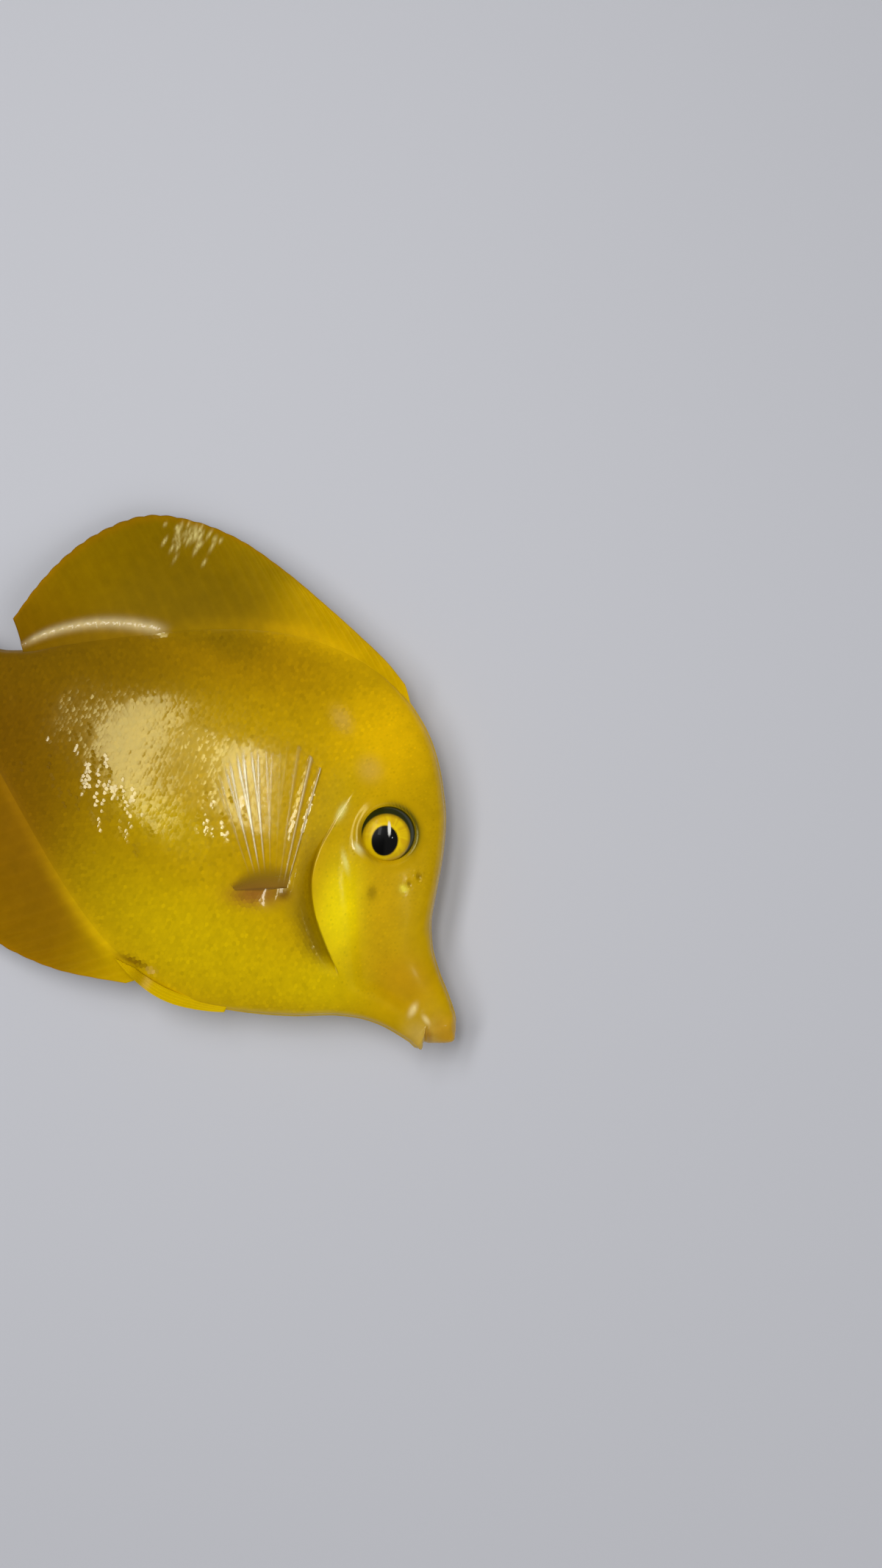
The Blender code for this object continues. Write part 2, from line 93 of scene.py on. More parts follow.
# On the eye's disc, towards the snout and up: middles and half sizes of pupil, iris and a painted catch-light
PUPIL_X, PUPIL_Y, PUPIL_TURN = -0.0002, -0.00125, 118
PUPIL_LENGTH, PUPIL_WIDTH = 0.00228, 0.00198
IRIS_X, IRIS_Y, IRIS_SEED = -0.00006, -0.00074, 5
CATCH_X, CATCH_Y = -0.00051, 0.0006
CATCH_LENGTH, CATCH_WIDTH = 0.0012, 0.00027
CORNEA_RISE, CORNEA_REACH = 0.00016, 0.0021
ORBIT_SWELL = 0.0005
ORBIT_REACH_SHARE = 0.062
# a, b, reach
NOSTRILS = [(0.158, 0.064, 0.0048), (0.166, 0.046, 0.0036)]

# Rays of each fin and how many of them are spines; the two ends of a root; the free edge
DORSAL_RAYS = (28, 5)
DORSAL_ROOT = (0.292, 0.902)
DORSAL_EDGE = [
    (0.325, 0.329), (0.361, 0.345), (0.432, 0.366), (0.5, 0.383), (0.6, 0.404), (0.679, 0.413),
    (0.755, 0.407), (0.837, 0.378), (0.895, 0.316), (0.925, 0.253), (0.94, 0.189), (0.949, 0.122),
]
ANAL_RAYS = (22, 3)
ANAL_ROOT = (0.474, 0.902)
ANAL_EDGE = [
    (0.5, -0.318), (0.553, -0.336), (0.618, -0.354), (0.668, -0.36), (0.72, -0.361), (0.775, -0.35),
    (0.832, -0.318), (0.885, -0.262), (0.92, -0.2), (0.938, -0.145), (0.944, -0.104),
]
TAIL_RAYS = (17, 0)
TAIL_REAR_SHARE, TAIL_NOTCH_SHARE = 1.25, 0.016
TAIL_HALF_SPREAD_SHARE = 0.178
PECTORAL_RAYS = (14, 3)
PECTORAL_ROOT = (0.337, -0.072)
PECTORAL_ROOT_HALF_SHARE = 0.021
PECTORAL_ROOT_SPREAD = 0.072
PECTORAL_ANGLES = (12.0, 80.0)
PECTORAL_LENGTHS = [(0.0, 0.2), (0.18, 0.24), (0.48, 0.264), (0.85, 0.178), (1.0, 0.13)]
PELVIC_RAYS = (5, 1)
PELVIC_START, PELVIC_END = 0.335, 0.535
PELVIC_DROP_SHARE = 0.02
# How deep the median fins start inside the outline of the body
ROOT_SINK_SHARE = 0.006
DORSAL_DROOP, ANAL_DROOP = 0.0035, 0.003
FIN_DROOP_REACH_SHARE = 0.22
TAIL_DROOP_START, TAIL_DROOP_END = 0.8, 1.22
TAIL_END_HEIGHT = 0.00045
TAIL_SPINE_ROOT, TAIL_SPINE_TIP = 0.966, 0.902
TAIL_SPINE_HALF_HEIGHT_SHARE = 0.0085

# A swollen fold along the rear base of the dorsal fin, painted with a pale highlight, and the ridges of the
# shoulder behind the gill opening
BASE_FOLD = [
    (0.64, 0.243), (0.711, 0.223), (0.765, 0.207), (0.814, 0.184), (0.855, 0.155), (0.887, 0.125),
    (0.924, 0.078), (0.94, 0.056),
]
SHOULDER_A, SHOULDER_SLOPE, SHOULDER_STEP = 0.343, 0.2345, 0.02

# Round swellings (+) and hollows (-) of the skin: a, b, reach along, reach up, height
PECTORAL_FORMS = [
    (PECTORAL_ROOT[0], PECTORAL_ROOT[1], 0.02, 0.03, 0.00055),
    (PECTORAL_ROOT[0] + 0.034, PECTORAL_ROOT[1] + 0.004, 0.018, 0.026, -0.0004),
]
MOUTH_FOLDS = [(0.057, -0.136, 0.012, 0.018, 0.0003), (0.034, -0.134, 0.009, 0.012, 0.0002)]

# Places that shine most: a, b, reach along, reach up; elsewhere the skin has the dry gloss
DRY_GLOSS = 0.06
GLOSSY = [
    (0.352, 0.044, 0.032, 0.115), (0.044, -0.139, 0.034, 0.03), (0.269, 0.054, 0.02, 0.022),
    (0.317, 0.098, 0.02, 0.024), (0.17, 0.035, 0.012, 0.012), (0.376, -0.083, 0.04, 0.024),
]

# How finely the skin is divided: rows along the fish for each stretch of it, and steps round each flank
LIP_ROWS, FACE_ROWS, COVER_ROWS, TRUNK_ROWS, END_ROWS = 22, 90, 44, 150, 10
FLANK_STEPS = 150
SKIN_INSET = 0.00004
# Where the rows of the gill cover stop before its edge and those of the trunk start behind it
COVER_STOP_SHARE = 0.004
TRUNK_START_SHARE, TRUNK_START_UNDER_SHARE = 0.0018, 0.0012
TRUNK_CROWDING = 1.15
# The free edge of the gill cover: over it, round it, in under it and out onto the shoulder
GILL_FOLD = np.array([
    # a outside the window, a inside it, depth inside it
    (-0.003, -0.002, -0.00036), (-0.0024, -0.0006, -0.0003), (-0.0018, 0.0002, -0.00012),
    (-0.0012, 0.0003, 0.00015), (-0.0006, -0.0006, 0.00045), (0.0, -0.0035, 0.00085),
    (0.0006, -0.003, 0.0011), (0.0012, 0.0004, 0.00115), (0.0018, 0.003, 0.001),
])
# Points round the keel and the back, between the two flanks, in degrees
EDGE_BEND = np.array([60.0, 30.0, 0.0, -30.0, -60.0])

SCALE_SEED = 11
SCALE_STEP_A, SCALE_STEP_B = 0.0005, 0.00066
# Half a scale as a share of its step, lift at the rear, gap from the skin, thickness, size in the unwrap
SCALE_HALF, SCALE_LIFT, SCALE_CLEAR = 0.62, 0.000009, 0.000012
SCALE_DEPTH, SCALE_DEPTH_LEAN, SCALE_UNWRAP = 0.00004, 0.00002, 0.0014
# Left bare of scales: the snout, the place round the eye, and ovals at the tail spine and pectoral root
SCALES_START_SHARE, EYE_BARE_SHARE = 0.13, 0.062
SPINE_A, SPINE_BARE, PECTORAL_BARE = 0.936, (0.045, 0.02), (0.03, 0.035)
# Scales are raised by cell: how many random values for lanes and cells, and the numbers that mix them
LANES, CELLS = 512, 4096
LANE_MIX, CELL_MIX = 7919, 104729
LANE_WIDTH_SHARE, CELL_LENGTH_SHARE = 0.0056, 0.023
# Painted glints on the dorsal fin: small pale strokes
GLINT_SEED, GLINTS = 4, 44
GLINT_A, GLINT_B = 0.752, 0.38

# The camera looks straight down, turned so that the fish lies as in the photograph
PIXELS_PER_METRE = 9020.0
FRAME_WIDTH, FRAME_HEIGHT = 1200, 2133
SNOUT_PIXEL = (597, 1420)
SNOUT_B = -0.165
CAMERA_ROLL = math.radians(28)
CAMERA_DISTANCE = 0.35
SENSOR_WIDTH = 36.0
# Cosine and sine of that turn, for marks that stand upright in the photograph
PHOTO_COS, PHOTO_SIN = 0.883, 0.469


def curve_through(points):
    """A smooth curve through the points, level beyond both ends."""
    xs, ys = np.array(points, float).T
    slopes = np.gradient(ys, xs)

    def at(x):
        x = np.clip(np.asarray(x, float), xs[0], xs[-1])
        i = np.clip(np.searchsorted(xs, x) - 1, 0, len(xs) - 2)
        span = xs[i + 1] - xs[i]
        t = (x - xs[i]) / span
        start = (1 + 2 * t) * (1 - t) ** 2 * ys[i] + t * (1 - t) ** 2 * span * slopes[i]
        end = t * t * (3 - 2 * t) * ys[i + 1] + t * t * (t - 1) * span * slopes[i + 1]
        return start + end

    return at


def line_by_length(points):
    """The points' line as a function of the share of its length."""
    points = np.array(points, float)
    steps = np.hypot(*np.diff(points, axis=0).T)
    places = np.concatenate([[0], np.cumsum(steps)]) / steps.sum()
    a_of = curve_through(np.column_stack([places, points[:, 0]]))
    b_of = curve_through(np.column_stack([places, points[:, 1]]))
    return lambda share: (a_of(share), b_of(share))


def smooth_step(low, high, x):
    t = np.clip((np.asarray(x, float) - low) / (high - low), 0, 1)
    return t * t * (3 - 2 * t)


def bell(x):
    return np.exp(-(np.asarray(x, float) ** 2))


def oval(a, b, at_a, at_b, far_a, far_b):
    """Distance from the middle of an oval, 1 on its edge."""
    return np.hypot((a - at_a) / far_a, (b - at_b) / far_b)


def between(x, rise_from, rise_to, fall_from, fall_to):
    """1 between two soft ends, 0 outside them."""
    return smooth_step(rise_from, rise_to, x) * (1 - smooth_step(fall_from, fall_to, x))


back_at = curve_through(BACK_LINE)
belly_at = curve_through(BELLY_LINE)
thickness_at = curve_through(HALF_THICKNESS)
power_at = curve_through(EDGE_POWER)
gill_edge_at = curve_through(GILL_EDGE)
cheek_edge_at = curve_through(CHEEK_EDGE)
base_fold_at = curve_through(BASE_FOLD)
lip_end_a, lip_end_b = curve_through(LIP_END[:, :2]), curve_through(LIP_END[:, ::2])

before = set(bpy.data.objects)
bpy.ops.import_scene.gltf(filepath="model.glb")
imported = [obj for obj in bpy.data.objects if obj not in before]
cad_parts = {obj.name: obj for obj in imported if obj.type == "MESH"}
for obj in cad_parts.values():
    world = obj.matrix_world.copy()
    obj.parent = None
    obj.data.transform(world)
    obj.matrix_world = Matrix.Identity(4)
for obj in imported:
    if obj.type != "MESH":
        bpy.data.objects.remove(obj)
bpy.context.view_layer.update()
spine_low, spine_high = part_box("tail_spine_right")
SHIFT_X = spine_high.x + TAIL_SPINE_TIP * STANDARD_LENGTH
SHIFT_Y = (spine_low.y + spine_high.y) / 2


def cover_window(angle):
    rise = smooth_step(COVER_LOW - COVER_SOFTNESS, COVER_LOW, angle)
    return rise * (1 - smooth_step(COVER_HIGH, COVER_HIGH + COVER_SOFTNESS, angle))


def edge_window(angle):
    """As cover_window, but the free edge dies away slowly towards the eye."""
    fading = 1 - 0.92 * smooth_step(-6.0, 12.0, angle)
    return cover_window(angle) * fading * smooth_step(-42.0, -30.0, angle)


def height_angle(a, b):
    middle, half = (back_at(a) + belly_at(a)) / 2, (back_at(a) - belly_at(a)) / 2
    return np.degrees(np.arcsin(np.clip((b - middle) / half, -1, 1)))


def flank(a, b):
    """How far the flank stands out from the middle plane."""
    closing = np.cos(np.radians(height_angle(a, b))) ** power_at(a)
    out = EDGE_HALF_WIDTH + (thickness_at(a) * STANDARD_LENGTH - EDGE_HALF_WIDTH) * closing
    return out + ORBIT_SWELL * bell(np.hypot(a - EYE_A, b - EYE_B) / ORBIT_REACH_SHARE) * closing


def gill_slit(a, angles):
    behind = (a - gill_edge_at(angles)) / GILL_SLIT_WIDTH_SHARE
    return GILL_SLIT_DEPTH * bell(behind) * edge_window(angles) * (behind > 0)


def droop(a, b):
    """How far the median fins and the tail sink towards the floor."""
    above = np.clip(b - back_at(a), 0, None) / FIN_DROOP_REACH_SHARE
    below = np.clip(belly_at(a) - b, 0, None) / FIN_DROOP_REACH_SHARE
    tail = smooth_step(TAIL_DROOP_START, TAIL_DROOP_END, a) * (MIDDLE_HEIGHT - TAIL_END_HEIGHT)
    fins = (DORSAL_DROOP * above**2 + ANAL_DROOP * below**2) * (1 - smooth_step(0.92, 1.0, a))
    return tail + fins


def placed(a, b, s, lowest=0.0):
    """Points of the scene from the fish's own coordinates, none of them below lowest."""
    a, b, s = np.broadcast_arrays(a, b, s)
    height = np.maximum(MIDDLE_HEIGHT - droop(a, b) + s, lowest)
    return np.stack([SHIFT_X - a * STANDARD_LENGTH, SHIFT_Y + b * STANDARD_LENGTH, height], axis=-1)


def mixed(one, two, share):
    return one + (np.asarray(two) - one) * np.asarray(share)[..., None]


# Markings: the same function colours the skin, the scales and the fins; among them are painted shade and
# painted highlights
GOLD = (0.6, 0.365, 0.0)
PATCHES = [
    # a, b, reach along, reach up, turn in degrees, colour, strength
    # The first three patches darken the rear: partly its own brownish tone, partly painted shade where the
    # flank turns from the light
    (0.92, 0.0, 0.33, 0.3, 0, (0.17, 0.072, 0.0), 0.93),
    (0.8, -0.2, 0.24, 0.13, 25, (0.22, 0.098, 0.0), 0.85),
    (0.74, 0.17, 0.24, 0.08, -34, (0.24, 0.125, 0.0), 0.8),
    (0.56, 0.25, 0.17, 0.07, -12, (0.44, 0.235, 0.0), 0.75),
    (0.59, -0.14, 0.1, 0.1, 0, (0.44, 0.265, 0.0), 0.78),
    (0.42, -0.2, 0.2, 0.1, -4, (0.7, 0.49, 0.0), 0.85),
    (0.22, -0.17, 0.09, 0.05, -20, (0.7, 0.5, 0.0), 0.75),
    (0.55, -0.05, 0.1, 0.04, 0, (0.64, 0.43, 0.0), 0.6),
    (0.31, 0.24, 0.078, 0.085, 20, (0.92, 0.55, 0.0), 0.85),
    (0.245, -0.045, 0.04, 0.085, -20, (0.97, 0.745, 0.0), 0.97),
    (0.19, -0.005, 0.035, 0.075, -28, (0.68, 0.4, 0.0), 0.6),
    (0.1, -0.1, 0.055, 0.045, 0, (0.56, 0.29, 0.0), 0.8),
    (0.0, -0.148, 0.034, 0.034, 0, (0.6, 0.31, 0.015), 0.85),
    (0.034, -0.168, 0.028, 0.024, 20, (0.64, 0.42, 0.07), 0.85),
    # Painted shade of the mouth's opening
    (0.021, -0.16, 0.006, 0.014, -30, (0.4, 0.19, 0.01), 0.8),
    (0.376, -0.083, 0.046, 0.02, -31, (0.33, 0.125, 0.012), 0.92),
    (0.338, -0.06, 0.012, 0.012, 0, (0.14, 0.05, 0.002), 0.85),
    (0.213, 0.006, 0.008, 0.013, -20, (0.25, 0.15, 0.0), 0.6),
    (0.33, 0.11, 0.035, 0.08, 0, (0.6, 0.39, 0.0), 0.6),
    (0.504, -0.279, 0.03, 0.006, -6, (0.16, 0.07, 0.0), 0.75),
    (0.8, 0.39, 0.09, 0.05, -20, (0.34, 0.215, 0.0), 0.8),
    (0.62, 0.39, 0.06, 0.03, 0, (0.4, 0.26, 0.0), 0.6),
    # A painted highlight on the folded pelvic fins
    (0.471, -0.279, 0.008, 0.004, -6, (0.72, 0.46, 0.1), 0.8),
    (0.387, 0.23, 0.022, 0.014, 30, (0.66, 0.41, 0.08), 0.5),
    (0.309, 0.18, 0.02, 0.018, 30, (0.66, 0.41, 0.08), 0.45),
    # Painted highlights: two on the lips, three on the gill cover, one on the cheek
    (0.0645, -0.1335, 0.0055, 0.012, 0, (0.95, 0.74, 0.3), 0.8),
    (0.038, -0.1375, 0.009, 0.0042, 27, (0.95, 0.74, 0.3), 0.8),
    (0.317, 0.098, 0.006, 0.015, 0, (0.93, 0.86, 0.26), 0.65),
    (0.266, 0.059, 0.011, 0.0048, 17, (0.95, 0.9, 0.42), 0.75),
    (0.274, 0.03, 0.017, 0.0042, 49, (0.93, 0.88, 0.26), 0.6),
    (0.17, 0.035, 0.0075, 0.006, 0, (0.98, 0.84, 0.06), 0.85),
]
GREEN_REAR = (0.72, 0.31, 0.26, 0.15, 0, (0.215, 0.125, 0.0), 0.92)
ANAL_BROWN = (0.27, 0.125, 0.001)
# The fold's pale colour is a painted highlight; the colours of the slit and the nostrils are painted shade
FOLD_HIGHLIGHT, SLIT_SHADE, NOSTRIL_SHADE = (0.8, 0.63, 0.3), (0.19, 0.105, 0.0), (0.1, 0.05, 0.004)
# Painted shade in the groove round the eye
SOCKET_SHADE, SOCKET_SHADE_BROWN = (0.06, 0.055, 0.001), (0.2, 0.11, 0.001)
GLINT_PALE, FIN_EDGE_BROWN, TAIL_FIN_GOLD = (0.95, 0.8, 0.3), (0.4, 0.18, 0.0), (0.6, 0.38, 0.0)
# The rays' pale colour is a painted highlight
RAY_HIGHLIGHT, PECTORAL_ROOT_BROWN = (1.0, 0.94, 0.7), (0.22, 0.105, 0.012)
SPINE_WHITE, SPINE_ROOT = (0.93, 0.9, 0.78), (0.72, 0.52, 0.08)
IRIS_GOLD, IRIS_LIGHT = (0.8, 0.49, 0.0), (0.93, 0.64, 0.0)
IRIS_RING, IRIS_RIM = (0.98, 0.69, 0.0), (0.6, 0.38, 0.0)
# The iris shade and the dark of the eye's rim are painted shade
IRIS_SHADE, EYE_RIM_SHADE, PUPIL_BLACK = (0.34, 0.19, 0.0), (0.022, 0.026, 0.001), (0.002, 0.002, 0.002)
CATCH_LIGHT, EYE_BACK = (0.95, 0.93, 0.85), (0.05, 0.035, 0.004)


def blended(colour, a, b, patch):
    centre_a, centre_b, reach_a, reach_b, turn, tint, strength = patch
    cos, sin = math.cos(math.radians(turn)), math.sin(math.radians(turn))
    along = ((a - centre_a) * cos + (b - centre_b) * sin) / reach_a
    across = ((b - centre_b) * cos - (a - centre_a) * sin) / reach_b
    return mixed(colour, tint, strength * np.exp(-((along**2 + across**2) ** 1.3)))


def markings(a, b):
    colour = GOLD
    for patch in PATCHES:
        colour = blended(colour, a, b, patch)
    outside = smooth_step(-0.035, 0.012, b - base_fold_at(a)) * smooth_step(0.5, 0.62, a)
    colour = mixed(colour, blended(colour, a, b, GREEN_REAR), outside)
    anal = smooth_step(-0.015, 0.035, belly_at(a) - b) * smooth_step(0.5, 0.66, a)
    colour = mixed(colour, ANAL_BROWN, 0.8 * anal)
    # Painted light: the steep edges of the body are made paler against their shade, so that they don't read
    # as a dark seam along the fins
    seam = bell((b - back_at(a)) / 0.02) * between(a, 0.36, 0.46, 0.66, 0.74)
    seam = seam + bell((b - belly_at(a)) / 0.016) * between(a, 0.5, 0.58, 0.84, 0.9)
    colour = colour * (1 + 0.32 * seam)[..., None]
    # Painted highlight along the fold at the rear base of the dorsal fin
    line = bell((b - base_fold_at(a)) / 0.0095) * between(a, 0.7, 0.74, 0.89, 0.92)
    colour = mixed(colour, FOLD_HIGHLIGHT, 0.8 * line)
    angle = height_angle(a, b)
    low = 1 - smooth_step(-24.0, -4.0, angle)
    behind = (a - gill_edge_at(angle)) / (0.022 + 0.02 * low)
    shade = np.exp(-((behind - 0.45) ** 2) * 2.2) * edge_window(angle) * (behind > -0.05)
    colour = mixed(colour, SLIT_SHADE, (0.52 + 0.32 * low) * shade)
    # Painted shade in the nostril pits
    for pit_a, pit_b, reach in NOSTRILS:
        colour = mixed(colour, NOSTRIL_SHADE, 0.6 * bell(np.hypot(a - pit_a, b - pit_b) / reach))
    # Painted shade in the groove round the eye: dark in front and above, brown behind and below
    radius = np.hypot(a - EYE_A, b - EYE_B) * STANDARD_LENGTH
    toward = np.cos(np.arctan2(b - EYE_B, EYE_A - a) - math.radians(50))
    rim = bell((radius - EYE_RADIUS) / 0.00045)
    colour = mixed(colour, SOCKET_SHADE, 0.95 * rim * smooth_step(-0.1, 0.9, toward))
    colour = mixed(colour, SOCKET_SHADE_BROWN, 0.6 * rim * smooth_step(0.3, 0.95, -toward))
    return colour


def new_material(name):
    made = bpy.data.materials.new(name)
    made.use_nodes = True
    tree = made.node_tree
    return made, tree, tree.nodes["Principled BSDF"]


def set_inputs(node, values):
    for name, value in values.items():
        node.inputs[name].default_value = value


def feed_attribute(tree, attribute, output, socket):
    node = tree.nodes.new("ShaderNodeAttribute")
    node.attribute_name = attribute
    tree.links.new(node.outputs[output], socket)


def coloured_material(
    name, roughness, coat=0.0, subsurface=0.0, mottle=0.1, shine=0.5, alpha=False, sparkle=False
):
    """A wet surface that takes its colour from the mesh's markings, with a faint mottle over it."""
    made, tree, shader = new_material(name)
    where = tree.nodes.new("ShaderNodeTexCoord")
    noise = tree.nodes.new("ShaderNodeTexNoise")
    set_inputs(noise, {"Scale": 420.0, "Detail": 5.0, "Roughness": 0.65})
    spread = tree.nodes.new("ShaderNodeMapRange")
    set_inputs(spread, {"From Min": 0.25, "From Max": 0.75, "To Min": 1 - mottle, "To Max": 1 + mottle})
    times = tree.nodes.new("ShaderNodeVectorMath")
    times.operation = "MULTIPLY"
    tree.links.new(where.outputs["Object"], noise.inputs["Vector"])
    tree.links.new(noise.outputs["Fac"], spread.inputs["Value"])
    feed_attribute(tree, "markings", "Color", times.inputs[0])
    tree.links.new(spread.outputs["Result"], times.inputs[1])
    tree.links.new(times.outputs["Vector"], shader.inputs["Base Color"])
    set_inputs(shader, {
        "Roughness": roughness, "Coat Weight": coat, "Coat Roughness": 0.05, "Specular IOR Level": shine,
        "Specular Tint": (1.0, 0.9, 0.34, 1), "Subsurface Weight": subsurface,
        "Subsurface Radius": (0.0016, 0.001, 0.0002), "Subsurface Scale": 1.0,
    })
    if alpha:
        feed_attribute(tree, "cover", "Fac", shader.inputs["Alpha"])
    if sparkle:
        feed_attribute(tree, "cover", "Fac", shader.inputs["Coat Weight"])
    return made


def new_object(name, data):
    made = bpy.data.objects.new(name, data)
    bpy.context.scene.collection.objects.link(made)
    return made


def closed_piece(name, points, faces, colours, uvs, material, cover=None):
    """A mesh from points and faces, with its markings, its unwrap and smooth shading."""
    points, colours = points.reshape(-1, 3), colours.reshape(-1, 3)
    mesh = bpy.data.meshes.new(name)
    mesh.vertices.add(len(points))
    mesh.vertices.foreach_set("co", np.asarray(points, np.float32).ravel())
    corners = np.asarray(faces, np.int32)
    mesh.loops.add(corners.size)
    mesh.loops.foreach_set("vertex_index", corners.ravel())
    mesh.polygons.add(len(corners))
    mesh.polygons.foreach_set("loop_start", np.arange(0, corners.size, corners.shape[1], dtype=np.int32))
    mesh.update(calc_edges=True)
    mesh.validate()
    tint = mesh.attributes.new("markings", "FLOAT_COLOR", "POINT")
    colours = np.column_stack([np.clip(colours, 0, 1), np.ones(len(colours))])
    tint.data.foreach_set("color", colours.astype(np.float32).ravel())
    if cover is not None:
        weight = mesh.attributes.new("cover", "FLOAT", "POINT")
        weight.data.foreach_set("value", np.asarray(cover, np.float32).ravel())
    layer = mesh.uv_layers.new(name="OFBake")
    order = np.zeros(len(mesh.loops), np.int32)
    mesh.loops.foreach_get("vertex_index", order)
    layer.uv.foreach_set("vector", uvs.reshape(-1, 2).astype(np.float32)[order].ravel())
    mesh.materials.append(material)
    mesh.shade_smooth()
    return new_object(name, mesh)


def grid_faces(rows, columns, offset=0, wrap=False, flip=False):
    i, j = np.meshgrid(np.arange(rows - 1), np.arange(columns if wrap else columns - 1), indexing="ij")
    after = (j + 1) % columns
    here, beyond = i * columns, (i + 1) * columns
    quads = np.stack([here + j, beyond + j, beyond + after, here + after], axis=-1).reshape(-1, 4) + offset
    return quads[:, ::-1] if flip else quads


def leaf(node, upper, lower, colours, material, cover=None):
    """A closed thin piece between two grids of points, joined along its four sides."""
    rows, columns = upper.shape[:2]
    count = rows * columns
    faces = [grid_faces(rows, columns), grid_faces(rows, columns, count, flip=True)]
    i, j = np.arange(rows), np.arange(columns)
    there, back = (rows - 1) * columns + j[1:], i[-2::-1] * columns + columns - 1
    rim = np.concatenate([i * columns, there, back, j[-2:0:-1]])
    after = np.roll(rim, -1)
    faces.append(np.stack([rim, rim + count, after + count, after], axis=-1))
    points, tints = np.stack([upper, lower]), np.stack([colours, colours])
    u, v = np.meshgrid(np.linspace(0.02, 0.98, rows), np.linspace(0.02, 0.48, columns), indexing="ij")
    uvs = np.stack([np.stack([u, v], axis=-1), np.stack([u, v + 0.5], axis=-1)])
    sides = None if cover is None else np.stack([cover, cover])
    faces = np.concatenate(faces)[:, ::-1]
    made = closed_piece(node + "_sheet", points, faces, tints, uvs, material, sides)
    outward(made)
    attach(made, "root")
    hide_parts(node)


def outward(made):
    """Turns all faces to look outwards, judged by the volume that they enclose."""
    mesh = made.data
    mesh.calc_loop_triangles()
    co = np.zeros(len(mesh.vertices) * 3, np.float32)
    mesh.vertices.foreach_get("co", co)
    co = co.reshape(-1, 3).astype(float)
    triangles = np.zeros(len(mesh.loop_triangles) * 3, np.int32)
    mesh.loop_triangles.foreach_get("vertices", triangles)
    one, two, three = co[triangles.reshape(-1, 3)].transpose(1, 0, 2)
    if np.einsum("ij,ij->", one - co.mean(0), np.cross(two - co.mean(0), three - co.mean(0))) < 0:
        mesh.flip_normals()


def mouth_base(angles):
    return MOUTH_PLANE_SHARE - MOUTH_SLOPE_SHARE * np.sin(np.radians(angles))


def trunk_start(angles):
    return gill_edge_at(angles) + TRUNK_START_SHARE + TRUNK_START_UNDER_SHARE * edge_window(angles)


# The skin: rows from the lips to the root of the tail fin, each going once round the fish
def skin_rows():
    """(a, b, s) of the right flank, one row for each station and one column for each height angle."""
    angles = np.linspace(-90, 90, FLANK_STEPS + 1)[None, :]
    radians = np.radians(angles)
    window = edge_window(angles)
    cheek, gill = cheek_edge_at(angles), gill_edge_at(angles)
    base = mouth_base(angles)

    def ring(a, depth=0.0):
        middle, half = (back_at(a) + belly_at(a)) / 2, (back_at(a) - belly_at(a)) / 2
        b = middle + half * np.sin(radians)
        return a * np.ones_like(b), b, flank(a, b) + relief(a, b) - depth - SKIN_INSET

    # Lips: the end of the snout rounds forwards to their line, and the line of the mouth is drawn in
    base_a, base_b, base_s = ring(base)
    turn = np.radians(np.linspace(90, 0, LIP_ROWS))[:-1, None]
    forward = np.sin(turn)
    lips_a = base_a + (lip_end_a(angles) - base_a) * forward
    lips_b = base_b + (lip_end_b(angles) - base_b) * forward
    lips_s = (base_s + 0.0003 * bell((forward - 0.55) / 0.25)) * np.cos(turn)
    crease = bell((angles - MOUTH_ANGLE) / 2.6) * smooth_step(0.0, 0.45, forward)
    lips_a = lips_a + 0.004 * crease
    lips_s = lips_s * (1 - 0.2 * crease)
    stretches = [(lips_a, lips_b, lips_s)]

    along = np.linspace(0, 1, FACE_ROWS)[:, None]
    stretches.append(ring(base + (cheek - base) * along))
    along = np.linspace(0, 1, COVER_ROWS)[1:, None]
    a = cheek + (gill - COVER_STOP_SHARE - cheek) * along
    stretches.append(ring(a, -COVER_RAISE * window * along**1.5))

    outside, inside, depth = (GILL_FOLD[:, k][:, None] for k in range(3))
    a = gill + outside + (inside - outside) * window
    stretches.append(ring(a, depth * window))
    along = np.linspace(0, 1, TRUNK_ROWS)[1:, None]
    start = trunk_start(angles)
    a = start + (1 - start) * along**TRUNK_CROWDING
    stretches.append(ring(a, gill_slit(a, angles)))

    # The fleshy root of the tail fin
    end_a, end_b, end_s = ring(np.ones((1, 1)))
    along = np.linspace(0, 1, END_ROWS)[1:, None]
    reach = 0.052 - 0.018 * np.sin(radians) ** 2
    closed = 1 - smooth_step(0.0, 1.0, along)
    root_s = end_s * closed + 0.00018 * (1 - closed)
    stretches.append((end_a + reach * along, end_b * (1 + 0.22 * along), root_s))
    return tuple(np.vstack([stretch[k] for stretch in stretches]) for k in range(3))


def fin_fold(a, b):
    """The swollen, slightly uneven fold along the rear base of the dorsal fin: how far it stands out."""
    uneven = 1 + 0.32 * np.sin(a * 390) * np.sin(a * 170 + 1)
    return 0.0004 * uneven * bell((b - base_fold_at(a)) / 0.009) * between(a, 0.69, 0.73, 0.9, 0.935)


def gloss(a, b):
    """How wet and mirror-like the skin is at each place, from 0 to 1."""
    shown = DRY_GLOSS
    for place in GLOSSY:
        shown = np.maximum(shown, bell(oval(a, b, *place) ** 2))
    return np.maximum(shown, 0.8 * smooth_step(0.00008, 0.00025, fin_fold(a, b)))


def round_forms(forms, a, b):
    return sum(high * bell(oval(a, b, *place)) for *place, high in forms)


